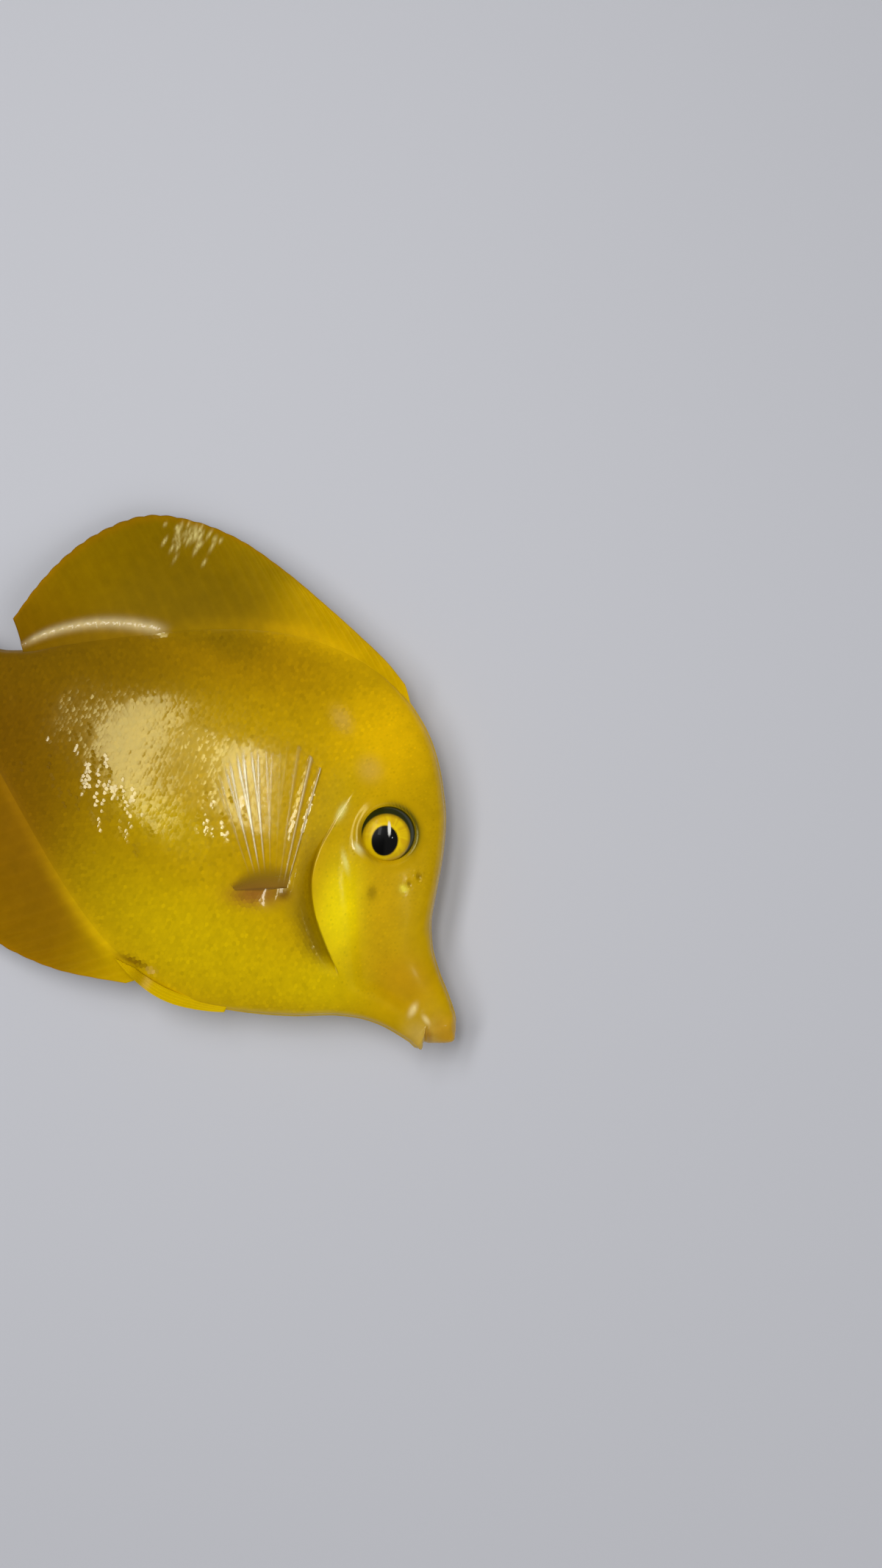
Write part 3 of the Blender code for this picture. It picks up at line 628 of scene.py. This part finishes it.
def relief(a, b):
    """Small forms of the skin that the solids leave out: how far it stands out, or in, at each place."""
    radius = np.hypot(a - EYE_A, b - EYE_B) * STANDARD_LENGTH
    out = 0.00024 * bell((radius - 0.0047) / 0.0005) - 0.0006 * (1 - smooth_step(0.0034, 0.0043, radius))
    for pit_a, pit_b, reach in NOSTRILS:
        away = np.hypot(a - pit_a, b - pit_b) / reach
        out = out - 0.00042 * bell(away) + 0.0001 * bell((away - 1.35) / 0.4)
    angle = height_angle(a, b)
    cheek = (a - cheek_edge_at(angle)) / 0.012
    out = out + (0.0001 * bell(cheek + 1.4) - 0.00016 * bell(cheek)) * cover_window(angle)
    out = out + round_forms(PECTORAL_FORMS, a, b)
    out = out + fin_fold(a, b) + 0.00055 * bell((a - 0.711) / 0.123) * np.cos(np.radians(angle)) ** 2
    shoulder = a - SHOULDER_A - SHOULDER_SLOPE * b
    tall = between(b, -0.11, -0.07, 0.1, 0.16)
    ridges = 0.00011 * bell(shoulder / 0.0032) + 0.00009 * bell((shoulder - SHOULDER_STEP) / 0.0032)
    out = out + ridges * tall
    sheath = bell((b - belly_at(a) - 0.016) / 0.012) * between(a, 0.5, 0.62, 0.9, 0.96)
    out = out + 0.0001 * sheath
    spine = oval(a, b, SPINE_A, 0, 0.04, 0.016)
    out = out - 0.0003 * bell(spine) + 0.00016 * bell((spine - 1.25) / 0.3)
    out = out + round_forms(MOUTH_FOLDS, a, b)
    jaw = bell((b - belly_at(a) - 0.03 - 0.2 * (a - 0.05)) / 0.01) * between(a, 0.03, 0.07, 0.13, 0.2)
    out = out - 0.00016 * jaw
    lateral = bell((b - lateral_line(a)) / 0.003) * between(a, 0.34, 0.38, 0.93, 0.97)
    return out + 0.00001 * lateral


def lateral_line(a):
    above = (back_at(a) - 0.075) * 0.52 * (1 - smooth_step(0.55, 0.95, a))
    return 0.075 + above - 0.075 * smooth_step(0.5, 0.95, a)


def make_skin(material):
    a, b, s = skin_rows()
    s = np.maximum(s, 0.00012)
    s[0] = 0.00001
    rows, columns = a.shape
    over = np.sin(np.radians(EDGE_BEND))[None, :]
    lift = (EDGE_HALF_WIDTH * 0.55 / STANDARD_LENGTH) * np.cos(np.radians(EDGE_BEND))[None, :]

    def bend(edge, way):
        shrink = np.minimum(s[:, edge] / EDGE_HALF_WIDTH, 1)
        return a[:, edge] + 0 * over, b[:, edge] + way * lift * shrink, s[:, edge] * over * way

    back, keel = bend(slice(-1, None), 1), bend(slice(0, 1), -1)
    right, left = placed(a, b, s), placed(a, b, -s, REST_PAD * 0.9)
    left = np.where((a < gill_edge_at(height_angle(a, b)))[..., None], placed(a, b, -s), left)
    points = np.concatenate([right, placed(*back), left[:, ::-1], placed(*keel)], axis=1)
    flat_a = np.concatenate([a, back[0], a[:, ::-1], keel[0]], axis=1)
    flat_b = np.concatenate([b, back[1], b[:, ::-1], keel[1]], axis=1)
    colours = markings(flat_a, flat_b)
    wet = gloss(flat_a, flat_b)
    ring = points.shape[1]
    u, v = np.meshgrid(np.linspace(0.01, 0.99, rows), np.linspace(0.01, 0.99, ring), indexing="ij")
    faces = grid_faces(rows, ring, wrap=True)
    # Close both ends, each half of a row sewn to the other
    for row in (0, rows - 1):
        first = row * ring
        k = np.arange(columns - 1)
        left_at = first + columns + len(EDGE_BEND) + (columns - 1 - k)
        quads = np.stack([first + k, first + k + 1, left_at - 1, left_at], axis=-1)
        faces = np.concatenate([faces, quads[:, ::-1] if row else quads])
    unwrap = np.stack([u, v], axis=-1)
    skin = closed_piece("skin", points, faces, colours, unwrap, material, wet)
    outward(skin)
    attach(skin, "root")
    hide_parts("head", "trunk", "tail_stalk", "upper_lip", "lower_lip", "gill_cover_right", "gill_cover_left")
    return right, left, unwrap[:, :columns]


def row_of(a, angles):
    """The row, as a number with a fraction, where the skin passes a at each height angle."""
    gill, cheek = gill_edge_at(angles), cheek_edge_at(angles)
    base, start = mouth_base(angles), trunk_start(angles)
    face_row = LIP_ROWS - 1
    cover_row = face_row + FACE_ROWS - 1
    trunk_row = cover_row + COVER_ROWS - 1 + len(GILL_FOLD)
    face = face_row + np.clip((a - base) / (cheek - base), 0, 1) * (FACE_ROWS - 1)
    cover = cover_row + np.clip((a - cheek) / (gill - COVER_STOP_SHARE - cheek), 0, 1) * (COVER_ROWS - 1)
    trunk = trunk_row + np.clip((a - start) / (1 - start), 0, 1) ** (1 / TRUNK_CROWDING) * (TRUNK_ROWS - 1)
    return np.where(a > gill, trunk, np.where(a > cheek, cover, face))


def bilinear(grid, row, column):
    i = np.clip(row.astype(int), 0, grid.shape[0] - 2)
    j = np.clip(column.astype(int), 0, grid.shape[1] - 2)
    fi, fj = (row - i)[..., None], (column - j)[..., None]
    top = grid[i, j] * (1 - fj) + grid[i, j + 1] * fj
    low = grid[i + 1, j] * (1 - fj) + grid[i + 1, j + 1] * fj
    return top * (1 - fi) + low * fi


def unit(v):
    return v / np.maximum(np.linalg.norm(v, axis=-1, keepdims=True), 1e-12)


def make_scales(name, skin, side, material):
    """Small overlapping plates in staggered rows, each sunk at its front and lifted at its rear."""
    random = np.random.default_rng(SCALE_SEED + (side < 0))
    a_step, b_step = SCALE_STEP_A / STANDARD_LENGTH, SCALE_STEP_B / STANDARD_LENGTH
    a, b = np.meshgrid(np.arange(0.06, 1.0, a_step), np.arange(-0.34, 0.36, b_step), indexing="ij")
    b = b + (np.arange(a.shape[0]) % 2)[:, None] * b_step / 2
    a = a + random.normal(0, 0.1, a.shape) * a_step
    b = b + random.normal(0, 0.08, b.shape) * b_step
    inside = (b < back_at(a) - 0.008) & (b > belly_at(a) + 0.008)
    a, b = a[inside], b[inside]
    angles = height_angle(a, b)
    from_eye = np.hypot(a - EYE_A, b - EYE_B)
    behind = a - gill_edge_at(angles)
    size = 0.5 + 0.5 * smooth_step(0.0, 0.06, behind)
    keep = (behind > 0.006) | (behind < -0.01) | (edge_window(angles) < 0.3)
    keep &= (from_eye > EYE_BARE_SHARE) & (a > SCALES_START_SHARE)
    keep &= (oval(a, b, SPINE_A, 0, *SPINE_BARE) > 1) & (oval(a, b, *PECTORAL_ROOT, *PECTORAL_BARE) > 1)
    a, b, angles, size, behind = a[keep], b[keep], angles[keep], size[keep], behind[keep]
    column = (angles + 90) / 180 * FLANK_STEPS
    row = row_of(a, angles)
    right, left, unwrap = skin
    surface = right if side > 0 else left
    root = bilinear(surface, row, column)
    rearward = unit(bilinear(surface, row + 1.0, column) - bilinear(surface, row - 1.0, column))
    up = bilinear(surface, row, column + 1.0) - bilinear(surface, row, column - 1.0)
    up = unit(up - rearward * np.sum(up * rearward, axis=-1, keepdims=True))
    out = unit(np.cross(up, rearward))
    out = out * np.where(np.sum(out * (0, 0, side), axis=-1, keepdims=True) < 0, -1, 1)
    flat_near_gill = 0.25 + 0.75 * smooth_step(0, 0.05, behind)
    lift = SCALE_LIFT * (1 + 0.6 * random.standard_normal(len(a))) * flat_near_gill
    # Rough places, where short rows of scales one above the other are raised together and glint
    low_rear = bell((a - 0.682) / 0.08) * bell((b + 0.054 - 0.26 * (a - 0.682)) / 0.038)
    rough = 0.001 + 0.9 * low_rear + 0.45 * bell((a - 0.49) / 0.032) * bell((b + 0.017) / 0.035)
    lane = np.floor((a * PHOTO_COS - b * PHOTO_SIN) / LANE_WIDTH_SHARE).astype(int)
    start = random.random(LANES)[lane % LANES]
    cell = np.floor((a * PHOTO_SIN + b * PHOTO_COS) / CELL_LENGTH_SHARE + start).astype(int)
    cell = (lane * LANE_MIX + cell * CELL_MIX) % CELLS
    raised = random.random(CELLS)[cell] < rough
    lift = np.clip(np.where(raised, lift * random.uniform(0.4, 2.4, CELLS)[cell], lift), 0.000004, 0.00006)
    tilt = 0.000066 * random.standard_normal(CELLS)[cell]
    tilt = np.where(raised, tilt, 0.000004 * random.standard_normal(len(a)))
    wet = np.maximum(np.where(raised, 0.75, 0.1), gloss(a, b))
    # The plate's outline as shares of its half length, half height, lift and tilt
    outline = np.array([
        (-0.9, 0.0, -0.6), (-0.45, 0.8, -0.2), (0.35, 1.02, 0.45), (0.95, 0.55, 0.95), (1.12, 0.0, 1.0),
        (0.95, -0.55, 0.95), (0.35, -1.02, 0.45), (-0.45, -0.8, -0.2), (0.1, 0.0, 0.75),
    ])
    half_a, half_b = SCALE_HALF * SCALE_STEP_A * size, SCALE_HALF * SCALE_STEP_B * size
    along = outline[:, 0] * half_a[:, None]
    across = outline[:, 1] * half_b[:, None]
    height = outline[:, 2] * lift[:, None] + outline[:, 1] * tilt[:, None] + SCALE_CLEAR
    top = root[:, None] + rearward[:, None] * along[..., None] + up[:, None] * across[..., None]
    top = top + out[:, None] * height[..., None]
    under = top[:, :8] - out[:, None] * (SCALE_DEPTH + SCALE_DEPTH_LEAN * outline[:8, 2:])
    points = np.concatenate([top, under], axis=1)
    per = points.shape[1]
    k = np.arange(8)
    fan = np.stack([k, (k + 1) % 8, np.full(8, 8)], axis=-1)
    # Walls only at the rear edge, which stands off the skin
    k = np.arange(2, 6)
    wall = np.concatenate([np.stack([k, k + 9, k + 10], -1), np.stack([k, k + 10, k + 1], -1)])
    faces = (np.concatenate([fan, wall])[None] + (np.arange(len(a)) * per)[:, None, None]).reshape(-1, 3)
    shade = markings(a, b) * (1 + 0.05 * random.standard_normal((len(a), 1)))
    colours = np.repeat(shade, per, axis=0)
    where = bilinear(unwrap, row, column)
    if side < 0:
        where[:, 1] = 1 - where[:, 1]
    uvs = where[:, None] + SCALE_UNWRAP * np.concatenate([outline[:, :2], outline[:8, :2]])
    faces = faces if side > 0 else faces[:, ::-1]
    made = closed_piece(name, points, faces, colours, uvs, material, np.repeat(wet, per))
    ends = np.zeros(len(made.data.edges) * 2, np.int32)
    made.data.edges.foreach_get("vertices", ends)
    rim = (ends.reshape(-1, 2) % per < 8).all(axis=1)
    made.data.attributes.new("sharp_edge", "BOOLEAN", "EDGE").data.foreach_set("value", rim)
    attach(made, "root")


def fin_grid(rays, spines, fine, rows, narrow=1.0):
    """Shares across and along a fin, how much ray each place is, and how far it lies from the nearest ray.

    Spines stay single, soft rays fork towards their tips.
    """
    across = np.linspace(0, 1, (rays - 1) * fine + 1)[None, :]
    along = np.linspace(0, 1, rows)[:, None]
    place = across * (rays - 1)
    nearest = np.round(place)
    off = place - nearest
    soft = nearest >= spines
    fork = np.where(soft, 0.23 * smooth_step(0.3, 1.0, along), 0)
    width = np.where(soft, 0.15 - 0.04 * along, 0.17)
    ridge = bell((np.abs(off) - fork) / (width * narrow))
    notches = np.where(soft, np.abs(np.sin(np.pi * along * 24)) ** 10, 0)
    joints = 1 - 0.3 * notches * smooth_step(0.2, 0.4, along)
    return across, along, ridge * joints, off


def fin_half(along, ridge, root, membrane=0.0003, ray=0.00009, taper=2.4, level=0.0):
    """Half a fin's thickness: full at the root as far as level, then down to the membrane and its rays."""
    thin = membrane + ray * ridge * smooth_step(0.0, 0.3, along)
    return (thin + (root - thin) * (1 - np.clip((along - level) / (1 - level), 0, 1)) ** taper) / 2


def make_edge_fin(name, counts, root_ends, edge, line_at, side, material):
    """The dorsal fin (side 1) or the anal fin (side -1), standing on the back or belly line."""
    across, along, ridge, off = fin_grid(*counts, 10, 56)
    start, end = root_ends
    root_a = start + (end - start) * across
    root_b = line_at(root_a) - side * ROOT_SINK_SHARE
    tip_a, tip_b = line_by_length(edge)(across**0.86)
    scallop = 1 - 0.01 * (np.abs(off) * 2) ** 1.5
    reach = along * scallop
    bow = 0.1 * reach * (1 - reach)
    a = root_a + (tip_a - root_a) * reach - bow * (tip_b - root_b) * side
    b = root_b + (tip_b - root_b) * reach + bow * (tip_a - root_a) * side
    inside = line_at(a) - side * ROOT_SINK_SHARE
    b = np.maximum(b, inside) if side > 0 else np.minimum(b, inside)
    half = fin_half(along, ridge, root=2.14 * EDGE_HALF_WIDTH, level=0.11)
    wave = 0.00006 * np.sin(across * 21 + 1.3) * along + 0.00007 * np.sin(across * 47 + along * 3) * along
    half = half + fin_fold(a, b) * (side > 0)
    colours = markings(a, b) * (1 + 0.05 * (ridge - 0.3))[..., None]
    # Painted glints: pale strokes on the dorsal fin
    glint = np.zeros_like(a)
    if side > 0:
        random = np.random.default_rng(GLINT_SEED)
        for _ in range(GLINTS):
            spot_a = GLINT_A + 0.024 * random.standard_normal()
            spot_b = GLINT_B + 0.015 * random.standard_normal()
            stroke = bell(oval(a, b, spot_a, spot_b, 0.0017, random.uniform(0.003, 0.011)))
            glint = np.maximum(glint, random.uniform(0.3, 0.9) * stroke)
    colours = mixed(colours, GLINT_PALE, glint)
    colours = mixed(colours, FIN_EDGE_BROWN, 0.55 * smooth_step(0.9, 1.0, along))
    upper, lower = placed(a, b, wave + half), placed(a, b, wave - half)
    leaf(name, upper, lower, colours, material, gloss(a, b) - DRY_GLOSS)


def make_tail_fin(material):
    across, along, ridge, off = fin_grid(*TAIL_RAYS, 12, 64)
    spread = 2 * across - 1
    root_a = 0.985 + 0 * spread
    root_b = spread * back_at(1.0) * 0.92
    tip_a = TAIL_REAR_SHARE - TAIL_NOTCH_SHARE * (1 - spread**2) - 0.0022 * (np.abs(off) * 2) ** 1.5
    tip_b = spread * TAIL_HALF_SPREAD_SHARE
    a = root_a + (tip_a - root_a) * along
    b = root_b + (tip_b - root_b) * along**0.95
    half = fin_half(along, ridge, root=0.0009, membrane=0.0002, ray=0.00022)
    colours = markings(np.minimum(a, 0.99), b * 0.4)
    colours = mixed(colours, TAIL_FIN_GOLD, 0.85 * smooth_step(0.16, 0.75, along))
    shaded = 1 - 0.3 * (1 - smooth_step(0.0, 0.45, along))
    colours = colours * (shaded * (1 + 0.16 * (ridge - 0.3)))[..., None]
    leaf("tail_fin", placed(a, b, half), placed(a, b, -half), colours, material)


def make_pectoral_fin(name, side, material):
    across, along, ridge, off = fin_grid(*PECTORAL_RAYS, 20, 52, narrow=0.8)
    lean = np.radians(PECTORAL_ANGLES[0] + (PECTORAL_ANGLES[1] - PECTORAL_ANGLES[0]) * across)
    root_a = PECTORAL_ROOT[0] + PECTORAL_ROOT_SPREAD * across
    root_b = PECTORAL_ROOT[1] + PECTORAL_ROOT_HALF_SHARE * (1 - 2 * across)
    length = curve_through(PECTORAL_LENGTHS)(across) * (1 - 0.02 * (np.abs(off) * 2) ** 1.5)
    a = root_a + (PECTORAL_ROOT[0] + np.sin(lean) * length - root_a) * along
    b = root_b + np.cos(lean) * length * along
    inner = flank(a, b) - gill_slit(a, height_angle(a, b)) + GAP * smooth_step(0, 0.25, along)
    # The leading rays and a band of lit ones show, painted pale as highlights; the rest of the fin is nearly
    # clear
    leading, lit = bell(across / 0.13), bell((across - 0.46) / 0.13) * between(along, 0.08, 0.3, 0.78, 0.96)
    raised = ridge * (0.03 + 0.6 * leading + 0.06 * lit)
    outer = inner + 2 * fin_half(along, raised, root=0.0003, membrane=0.00006, ray=0.0003, taper=3.0)
    root = smooth_step(0.0, 0.2, along)
    tint = mixed(markings(a, b), RAY_HIGHLIGHT, root * ridge * (0.6 * leading + 0.9 * lit))
    tint = mixed(tint, PECTORAL_ROOT_BROWN, 0.72 * (1 - smooth_step(0.04, 0.18, along)))
    cover = np.clip(1 - root * (0.97 - ridge * (0.8 * leading + 0.85 * lit)), 0, 1)
    lowest = REST_PAD - GAP if side < 0 else 0.0
    leaf(name, placed(a, b, side * outer), placed(a, b, side * inner, lowest), tint, material, cover)


def make_pelvic_fin(name, side, material):
    across, along, ridge, off = fin_grid(*PELVIC_RAYS, 12, 60)
    a = PELVIC_START + (PELVIC_END - PELVIC_START) * along
    a = a - 0.035 * across * along**2 - 0.006 * np.abs(off) * along
    depth = PELVIC_DROP_SHARE * (0.3 + 0.7 * np.sin(np.pi * (0.12 + 0.8 * along)))
    b = belly_at(a) + 0.004 - depth * (1 - across)
    apart = 0.00015 + (EDGE_HALF_WIDTH + GAP) * smooth_step(0.37, 0.455, a)
    outer = apart + 2 * fin_half(along, ridge, root=0.0007, membrane=0.0002, ray=0.0001)
    colours = markings(a, belly_at(a) + 0.02) * (1.05 + 0.18 * (ridge - 0.3))[..., None]
    leaf(name, placed(a, b, side * outer), placed(a, b, side * apart), colours, material)


def make_tail_spine(name, side, material):
    along = np.linspace(0, 1, 40)[:, None]
    across = np.linspace(-1, 1, 17)[None, :]
    a = TAIL_SPINE_ROOT + (TAIL_SPINE_TIP - TAIL_SPINE_ROOT) * along + 0 * across
    b = across * TAIL_SPINE_HALF_HEIGHT_SHARE * (1 - 0.97 * along**1.4) ** 0.9
    inner = flank(a, b) - 0.0001
    outer = inner + 0.001 * (1 - 0.75 * np.abs(across) ** 1.6) * (1 - 0.45 * along)
    colours = mixed(SPINE_WHITE, SPINE_ROOT, 0.6 * (1 - smooth_step(0, 0.25, along)) + 0 * across)
    leaf(name, placed(a, b, side * outer), placed(a, b, side * inner), colours, material)


def surface_direction(a, b, side):
    """Straight out from the flank at a place, as a unit vector."""
    step = 0.004
    rise_back = (flank(a + step, b) - flank(a - step, b)) / (2 * step * STANDARD_LENGTH)
    rise_up = (flank(a, b + step) - flank(a, b - step)) / (2 * step * STANDARD_LENGTH)
    direction = np.array([float(rise_back), float(-rise_up), 1.0]) * (1, 1, side)
    return direction / np.linalg.norm(direction)


def make_eye(name, side, material):
    """A glossy eyeball: gold iris with fine spokes, an oval pupil set low, a dark outer rim of painted shade
    and a painted catch-light.
    """
    out = surface_direction(EYE_A, EYE_B, side)
    centre = placed(EYE_A, EYE_B, side * float(flank(EYE_A, EYE_B))) + out * (EYE_PROUD - EYE_HALF_DEPTH)
    forward = np.array([1.0, 0, 0]) - out[0] * out
    forward /= np.linalg.norm(forward)
    up = np.cross(out, forward) * side
    rings, spokes = 90, 128
    polar = np.linspace(0, math.pi, rings)[:, None]
    turn = np.linspace(0, 2 * math.pi, spokes, endpoint=False)[None, :]
    x, y, z = np.sin(polar) * np.cos(turn), np.sin(polar) * np.sin(turn), np.cos(polar) + 0 * turn
    across_x, across_y = x * EYE_RADIUS, y * EYE_RADIUS
    from_x, from_y = across_x - PUPIL_X, across_y - PUPIL_Y
    lean = math.radians(PUPIL_TURN)
    long_way = (from_x * math.cos(lean) + from_y * math.sin(lean)) / PUPIL_LENGTH
    short_way = (from_y * math.cos(lean) - from_x * math.sin(lean)) / PUPIL_WIDTH
    pupil = np.hypot(long_way, short_way)
    radius = np.hypot(across_x, across_y)
    random = np.random.default_rng(IRIS_SEED)
    waves = enumerate((7, 13, 22, 31))
    spoke = sum(math.pow(0.8, k) * np.sin(turn * count + random.uniform(0, 6)) for k, count in waves)
    iris = mixed(IRIS_GOLD, IRIS_LIGHT, smooth_step(-1.5, 1.8, spoke))
    iris = mixed(iris, IRIS_RING, 0.8 * bell((pupil - 1.12) / 0.08))
    iris = mixed(iris, IRIS_RIM, 0.5 * smooth_step(0.0022, 0.0032, radius))
    # The iris sits towards rear and belly, so the socket's painted shade shows as a dark crescent in front
    # and above
    from_iris = np.hypot(across_x - IRIS_X, across_y - IRIS_Y)
    iris = mixed(iris, IRIS_SHADE, 0.7 * smooth_step(0.003, 0.0035, from_iris))
    iris = mixed(iris, EYE_RIM_SHADE, smooth_step(0.00345, 0.0037, from_iris))
    colours = mixed(iris, PUPIL_BLACK, 1 - smooth_step(0.95, 1.03, pupil))
    # The catch-light stands upright in the photograph's frame, where the pupil's edge meets the iris
    glint_x, glint_y = across_x - CATCH_X, across_y - CATCH_Y
    upright, sideways = PHOTO_COS * glint_y - PHOTO_SIN * glint_x, PHOTO_COS * glint_x + PHOTO_SIN * glint_y
    glint = np.hypot(upright / CATCH_LENGTH, sideways / CATCH_WIDTH)
    colours = mixed(colours, CATCH_LIGHT, 0.92 * (1 - smooth_step(0.6, 1.1, glint)) * (z > 0))
    colours = np.where((z < -0.1)[..., None], EYE_BACK, colours)
    dome = EYE_HALF_DEPTH * z + CORNEA_RISE * bell(radius / CORNEA_REACH) * (z > 0)
    wet = 0.08 + 0.92 * smooth_step(-0.0011, -0.0005, 0.88 * across_x + 0.47 * across_y)
    points = centre + forward * across_x[..., None] + up * across_y[..., None] + out * dome[..., None]
    uvs = np.stack([0.5 + x * (0.5 - 0.25 * (z < 0)) * 0.9, 0.5 + y * 0.45], axis=-1)
    faces = grid_faces(rings, spokes, wrap=True)
    made = closed_piece(name + "_ball", points, faces, colours, uvs, material, wet)
    outward(made)
    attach(made, "root")
    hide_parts(name)


def eye_material():
    made, tree, shader = new_material("wet_eye")
    feed_attribute(tree, "markings", "Color", shader.inputs["Base Color"])
    feed_attribute(tree, "cover", "Fac", shader.inputs["Coat Weight"])
    set_inputs(shader, {"Roughness": 0.4, "Specular IOR Level": 0.1, "Coat Roughness": 0.02})
    return made


def make_floor():
    pale, _, shader = new_material("pale_floor")
    set_inputs(shader, {"Base Color": (0.6, 0.61, 0.66, 1), "Roughness": 0.6})
    mesh = bpy.data.meshes.new("floor")
    mesh.from_pydata([(-2, -2, 0), (2, -2, 0), (2, 2, 0), (-2, 2, 0)], [], [(0, 1, 2, 3)])
    mesh.materials.append(pale)
    new_object("floor", mesh)


def fish_point(a, b, height):
    return Vector((SHIFT_X - a * STANDARD_LENGTH, SHIFT_Y + b * STANDARD_LENGTH, height))


def area_light(name, aim, tilts, distance, size, radiance, spin=0.0, elliptic=False):
    """A softbox seen from aim at the given tilts, in degrees, towards the tail and towards the back."""
    tilt_back, tilt_up = np.radians(tilts).tolist()
    light = bpy.data.lights.new(name, "AREA")
    light.shape = "ELLIPSE" if elliptic else "RECTANGLE"
    light.size, light.size_y = size
    light.energy = radiance * math.pi * size[0] * size[1] * (math.pi / 4 if elliptic else 1)
    made = new_object(name, light)
    way = Vector((-math.tan(tilt_back), math.tan(tilt_up), 1)).normalized()
    tall = Vector((-math.sin(math.radians(spin)), math.cos(math.radians(spin)), 0))
    tall = (tall - way * tall.dot(way)).normalized()
    turned = Matrix((tall.cross(way), tall, way)).transposed().to_4x4()
    made.matrix_world = Matrix.Translation(aim + way * distance) @ turned
    return made


def make_lights():
    front, rear = fish_point(0.47, 0.035, 0.0165), fish_point(0.648, 0.036, 0.0145)
    area_light("lamp_front", front, (7.5, 8.0), 0.5, (0.062, 0.251), radiance=11.0, spin=17.5)
    area_light("lamp_rear", rear, (20.8, 3.0), 0.5, (0.104, 0.53), radiance=8.2, spin=9.0, elliptic=True)
    area_light("lamp_face", fish_point(0.17, 0.035, 0.014), (-33, 4), 0.5, (0.02, 0.03), radiance=14.0)
    fill = area_light("fill_side", fish_point(0.3, 0.0, 0.01), (-40, -4), 0.8, (0.7, 0.7), radiance=1.45)
    fill.visible_glossy = False
    world = bpy.data.worlds.new("soft_room")
    bpy.context.scene.world = world
    world.use_nodes = True
    set_inputs(world.node_tree.nodes["Background"], {"Color": (1.0, 0.98, 0.94, 1), "Strength": 0.1})


def make_camera():
    right = Vector((math.cos(CAMERA_ROLL), math.sin(CAMERA_ROLL), 0))
    up = Vector((-math.sin(CAMERA_ROLL), math.cos(CAMERA_ROLL), 0))
    snout = fish_point(0, SNOUT_B, MIDDLE_HEIGHT)
    target = snout + right * ((FRAME_WIDTH / 2 - SNOUT_PIXEL[0]) / PIXELS_PER_METRE)
    target += up * ((SNOUT_PIXEL[1] - FRAME_HEIGHT / 2) / PIXELS_PER_METRE)
    camera = new_object("camera", bpy.data.cameras.new("camera"))
    camera.data.sensor_width = SENSOR_WIDTH
    camera.data.lens = SENSOR_WIDTH * CAMERA_DISTANCE / (FRAME_HEIGHT / PIXELS_PER_METRE)
    camera.data.clip_start = 0.01
    camera.location = target + Vector((0, 0, CAMERA_DISTANCE))
    camera.rotation_euler = (0, 0, CAMERA_ROLL)
    bpy.context.scene.camera = camera


def main():
    skin_wet = coloured_material("wet_skin", roughness=0.22, subsurface=0.08, sparkle=True)
    scales_wet = coloured_material("wet_scales", roughness=0.15, mottle=0.05, sparkle=True)
    fin_looks = {"roughness": 0.45, "subsurface": 0.12, "shine": 0.05}
    fins_wet = coloured_material("wet_fins", **fin_looks)
    edge_fins_wet = coloured_material("wet_edge_fins", **fin_looks, sparkle=True)
    clear_fins = coloured_material("clear_fins", roughness=0.14, coat=0.9, mottle=0.04, alpha=True)
    bone = coloured_material("wet_spine", roughness=0.25, coat=0.6, mottle=0.03)
    eyes_wet = eye_material()
    skin = make_skin(skin_wet)
    for word, side in (("right", 1), ("left", -1)):
        make_scales("scales_" + word, skin, side, scales_wet)
        make_eye("eye_" + word, side, eyes_wet)
        make_pectoral_fin("pectoral_fin_" + word, side, clear_fins)
        make_pelvic_fin("pelvic_fin_" + word, side, fins_wet)
        make_tail_spine("tail_spine_" + word, side, bone)
    make_edge_fin("dorsal_fin", DORSAL_RAYS, DORSAL_ROOT, DORSAL_EDGE, back_at, 1, edge_fins_wet)
    make_edge_fin("anal_fin", ANAL_RAYS, ANAL_ROOT, ANAL_EDGE, belly_at, -1, edge_fins_wet)
    make_tail_fin(fins_wet)
    make_floor()
    make_lights()
    make_camera()
    bpy.context.scene.view_settings.view_transform = "Standard"


main()
